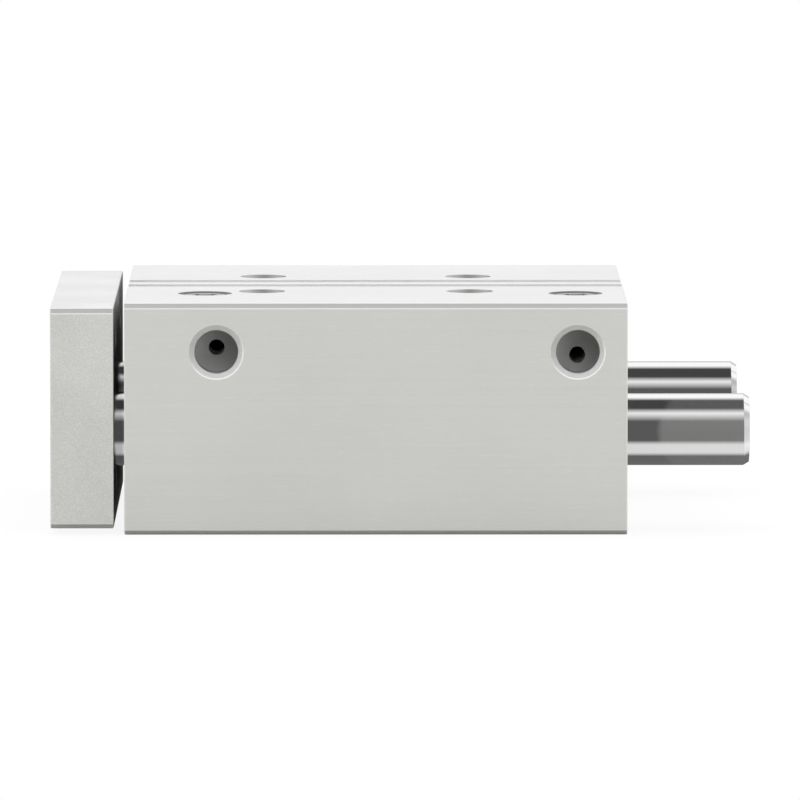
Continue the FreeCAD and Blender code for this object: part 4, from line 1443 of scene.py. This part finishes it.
@dataclass
class Rods(Assembly):
    """Both guide rods and the piston rod, hard chrome and ground."""

    def finishes(self) -> dict[str, Finish]:
        """Gives the rods one chrome, with its rings round each rod's own axis.

        Returns:
            Finish by node name.
        """
        # edge is painted shade: a dark colour painted on the guide rods' edges.
        colour, edge = (0.95, 0.955, 0.955), (0.42, 0.42, 0.42)
        clear = GroundFinish(Slot.GUIDE_ROD, colour, 0.07, axis=GUIDE_AXIS, painted_edge_colour=edge, painted_edge_share=0.8)
        # The near guide rod gets the painted light past the housing's shadow.
        lit_past_shadow = replace(clear, lit_x=65.0 * MM)
        piston = GroundFinish(Slot.PISTON_ROD, colour, 0.06, axis=BORE_AXIS)
        return {"near_guide_rod": lit_past_shadow, "far_guide_rod": clear, "piston_rod": piston}


@dataclass
class Piston(Assembly):
    """The piston's halves, seals, magnet, wear ring and nut."""

    def finishes(self) -> dict[str, Finish]:
        """Gives turned halves, rubber seals, a moulded magnet and band, and a plated nut their finishes.

        Returns:
            Finish by node name.
        """
        return {"piston_front_half": CAP, "piston_rear_half": CAP, "front_piston_seal": RUBBER,
                "rear_piston_seal": RUBBER, "piston_magnet": MAGNET, "piston_wear_ring": BAND, "piston_nut": ZINC}


@dataclass(frozen=True)
class Surround:
    """What polished metal mirrors: a long tube round the product's X axis, white with dark parts.

    Only glossy rays see it.

    Attributes:
        shades: (angle, brightness) pairs round the tube, in degrees from the camera's side, positive upward.
        end_shades: (height, brightness) pairs of the two discs that close it, with the radius as 1.
        middle: brightness of those discs' middle.
        middle_rim: share of the radius at which that middle ends, and the share in which it has gone over.
        radius: the tube's radius.
        half_length: half its length.
    """

    shades: tuple[tuple[float, float], ...]
    end_shades: tuple[tuple[float, float], ...]
    middle: float
    middle_rim: tuple[float, float] = (0.33, 0.15)
    radius: float = 1.2
    half_length: float = 1.1

    def build(self) -> None:
        """Builds the tube and its two ends.

        A point of the tube at angle a and station x is (x, -R cos a, R sin a). One of an end at share s of the radius
        is (x, -R s cos a, R s sin a). The brightness, kept as an attribute, runs straight from each pair to the next,
        and along the tube's last tenth from the tube's to that of its end.
        """
        angle = np.linspace(-180.0, 180.0, 481)
        out = np.linspace(0.01, 1.0, 40)
        begins, width = self.middle_rim
        card = self._card()
        for name, share, station in (("tube", np.ones(4), np.array((-1.0, -0.9, 0.9, 1.0))),
                                     ("front_end", out, -np.ones_like(out)), ("rear_end", out, np.ones_like(out))):
            turn, reach = np.meshgrid(np.radians(angle), share, indexing="ij")
            x = np.broadcast_to(station * self.half_length, turn.shape)
            points = np.stack([x, -self.radius * reach * np.cos(turn), self.radius * reach * np.sin(turn)], axis=-1)
            made = mesh_object("studio_surround_" + name, points, grid_faces(len(angle), len(share), closed=False))
            bright = np.interp(reach * np.sin(turn), *np.transpose(self.end_shades))
            bright = self.middle + (bright - self.middle) * np.clip((reach - begins) / width, 0.0, 1.0)
            if name == "tube":
                bright[:, 1:3] = np.interp(np.degrees(turn), *np.transpose(self.shades))[:, 1:3]
            layer = made.data.attributes.new("bright", "FLOAT", "POINT")
            layer.data.foreach_set("value", bright.ravel().astype(np.float32))
            made.data.materials.append(card)
            for ray in ("camera", "diffuse", "transmission", "volume_scatter", "shadow"):
                setattr(made, "visible_" + ray, False)

    def _card(self) -> bpy.types.Material:
        """Makes the cards' material.

        Returns:
            A plain glow as bright as the attribute says.
        """
        made, sheet = emptied(bpy.data.materials.new("studio_cards"))
        glow = sheet.node("Emission")
        sheet.feed(glow.inputs["Strength"], sheet.node("Attribute", attribute_name="bright").outputs["Fac"])
        sheet.node("OutputMaterial", glow.outputs[0])
        return made


SURROUND = Surround(shades=((-180.0, 0.14), (-150.0, 0.14), (-89.0, 0.122), (-74.0, 0.72), (-43.6, 0.72),
                            (-30.0, 0.100), (31.0, 0.100), (56.3, 0.87), (74.0, 0.056), (109.0, 0.056), (126.0, 1.0),
                            (150.0, 1.0), (180.0, 0.14)),
                    end_shades=((-1.0, 0.40), (-0.85, 0.80), (-0.56, 0.88), (-0.38, 0.66), (0.38, 0.66), (0.58, 0.48),
                                (0.66, 0.50), (0.80, 1.0), (1.0, 1.0)), middle=0.42)


@dataclass
class Studio:
    """White studio: floor, world, overhead lamp, what metal mirrors, and the camera at the photograph's angle.

    Attributes:
        camera_at: the camera's place.
        aim: the point at the middle of its picture.
        lens: focal length in millimetres on a 36 mm sensor.
        floor_radius: radius of the floor.
        floor_solid: radius up to which it is fully there.
        floor_gone: radius at which it has faded out.
        floor_shown: share of plain white in what the camera sees of it.
        floor_paint: its colour to the camera.
        thrown_paint: its colour to the light that it throws back on the product.
        ambient: brightness of the world on matt surfaces.
        lamp_power: power of the overhead lamp in watts.
        lamp_size: side of that lamp.
        lamp_height: its height.
        surround: what polished metal mirrors.
    """

    camera_at: Point = (-0.0042, -2.50137, 0.25148)
    aim: Point = (0.00749, -0.055, 0.03006)
    lens: float = 499.3
    floor_radius: float = 0.60
    floor_solid: float = 0.22
    floor_gone: float = 0.588
    floor_shown: float = 0.90
    floor_paint: Colour = (0.90, 0.90, 0.90)
    thrown_paint: Colour = (0.78, 0.783, 0.71)
    ambient: float = 0.85
    lamp_power: float = 10.6
    lamp_size: float = 1.6
    lamp_height: float = 1.4
    surround: Surround = SURROUND

    def build(self) -> None:
        """Builds the whole studio."""
        self._camera()
        self._world()
        self._lamp()
        self._floor()
        self.surround.build()
        LOG.info("studio: floor, world, lamp, surround and camera")

    def _camera(self) -> None:
        """Places the camera with a plain long lens."""
        lens = bpy.data.cameras.new("camera")
        lens.sensor_width, lens.lens = 36.0, self.lens
        lens.clip_start, lens.clip_end = 0.05, 20.0
        made = linked("camera", lens)
        made.location = self.camera_at
        made.rotation_euler = (Vector(self.aim) - Vector(self.camera_at)).to_track_quat("-Z", "Y").to_euler()
        bpy.context.scene.camera = made

    def _world(self) -> None:
        """Makes the world white behind everything and in reflections, and softer as a light on matt surfaces."""
        world, sheet = emptied(bpy.data.worlds.new("studio_world"))
        rays = sheet.node("LightPath").outputs
        seen = sheet.maths("MAXIMUM", rays["Is Camera Ray"], rays["Is Glossy Ray"])
        seen = sheet.maths("MAXIMUM", seen, rays["Is Transmission Ray"])
        light = sheet.node("Background", (1.0, 1.0, 1.0, 1.0), sheet.ramp(seen, 0.0, 1.0, self.ambient, 1.0))
        sheet.node("OutputWorld", light.outputs[0])
        bpy.context.scene.world = world

    def _lamp(self) -> None:
        """Hangs one large soft lamp over the product."""
        lamp = bpy.data.lights.new("overhead_lamp", "AREA")
        lamp.shape, lamp.size, lamp.energy = "SQUARE", self.lamp_size, self.lamp_power
        made = linked("overhead_lamp", lamp)
        made.location = (0.0, 0.0, self.lamp_height)
        made.visible_glossy = False

    def _floor(self) -> None:
        """Lays a round pale floor that fades into the white behind it, a hair below the base.

        A point of the floor at share s of its radius and angle a is (R s cos a, R s sin a, z).
        """
        z = -0.05 * MM
        share = np.linspace(0.002, 1.0, 24)
        angle = np.linspace(0.0, math.tau, 96, endpoint=False)
        reach, turn = np.meshgrid(self.floor_radius * share, angle, indexing="ij")
        points = np.stack([reach * np.cos(turn), reach * np.sin(turn), np.full_like(reach, z)], axis=-1)
        floor = mesh_object("studio_floor", points, grid_faces(len(share), len(angle), closed=True)[:, ::-1])
        floor.visible_glossy = False
        floor.data.materials.append(self._floor_paint())

    def _floor_paint(self) -> bpy.types.Material:
        """Makes the floor's material.

        Returns:
            Matt paint, mostly plain white to the camera, that fades out towards the floor's rim.
        """
        made, sheet = emptied(bpy.data.materials.new("studio_floor_paint"))
        reach = sheet.node("VectorMath", sheet.node("TexCoord").outputs["Object"], operation="LENGTH")
        there = sheet.ramp(reach.outputs["Value"], self.floor_solid, self.floor_gone, 1.0, 0.0)
        seen = sheet.node("LightPath").outputs["Is Camera Ray"]
        paint = sheet.node("BsdfDiffuse", sheet.blend(seen, self.thrown_paint, self.floor_paint))
        surface = sheet.node("MixShader", sheet.times(seen, self.floor_shown), paint.outputs[0],
                             sheet.node("Emission").outputs[0])
        faded = sheet.node("MixShader", there, sheet.node("BsdfTransparent").outputs[0], surface.outputs[0])
        sheet.node("OutputMaterial", faded.outputs[0])
        return made


def clear_start_scene() -> None:
    """Removes what a new file comes with."""
    for thing in list(bpy.data.objects):
        bpy.data.objects.remove(thing)


def main() -> None:
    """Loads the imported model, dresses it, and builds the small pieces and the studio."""
    logging.basicConfig(level=logging.INFO, format="%(name)s: %(message)s")
    clear_start_scene()
    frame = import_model()
    bpy.context.scene.view_settings.view_transform = "Standard"
    Studio().build()
    plugs, plate = BlankingPlugs(), EndPlate()
    for assembly in (Housing(), plugs, BoreClosures(), GuideBearings(), plate, Rods(), Piston()):
        assembly.dress(frame["nodes"])
    plugs.build()
    plate.build()


if __name__ == "__main__":
    main()
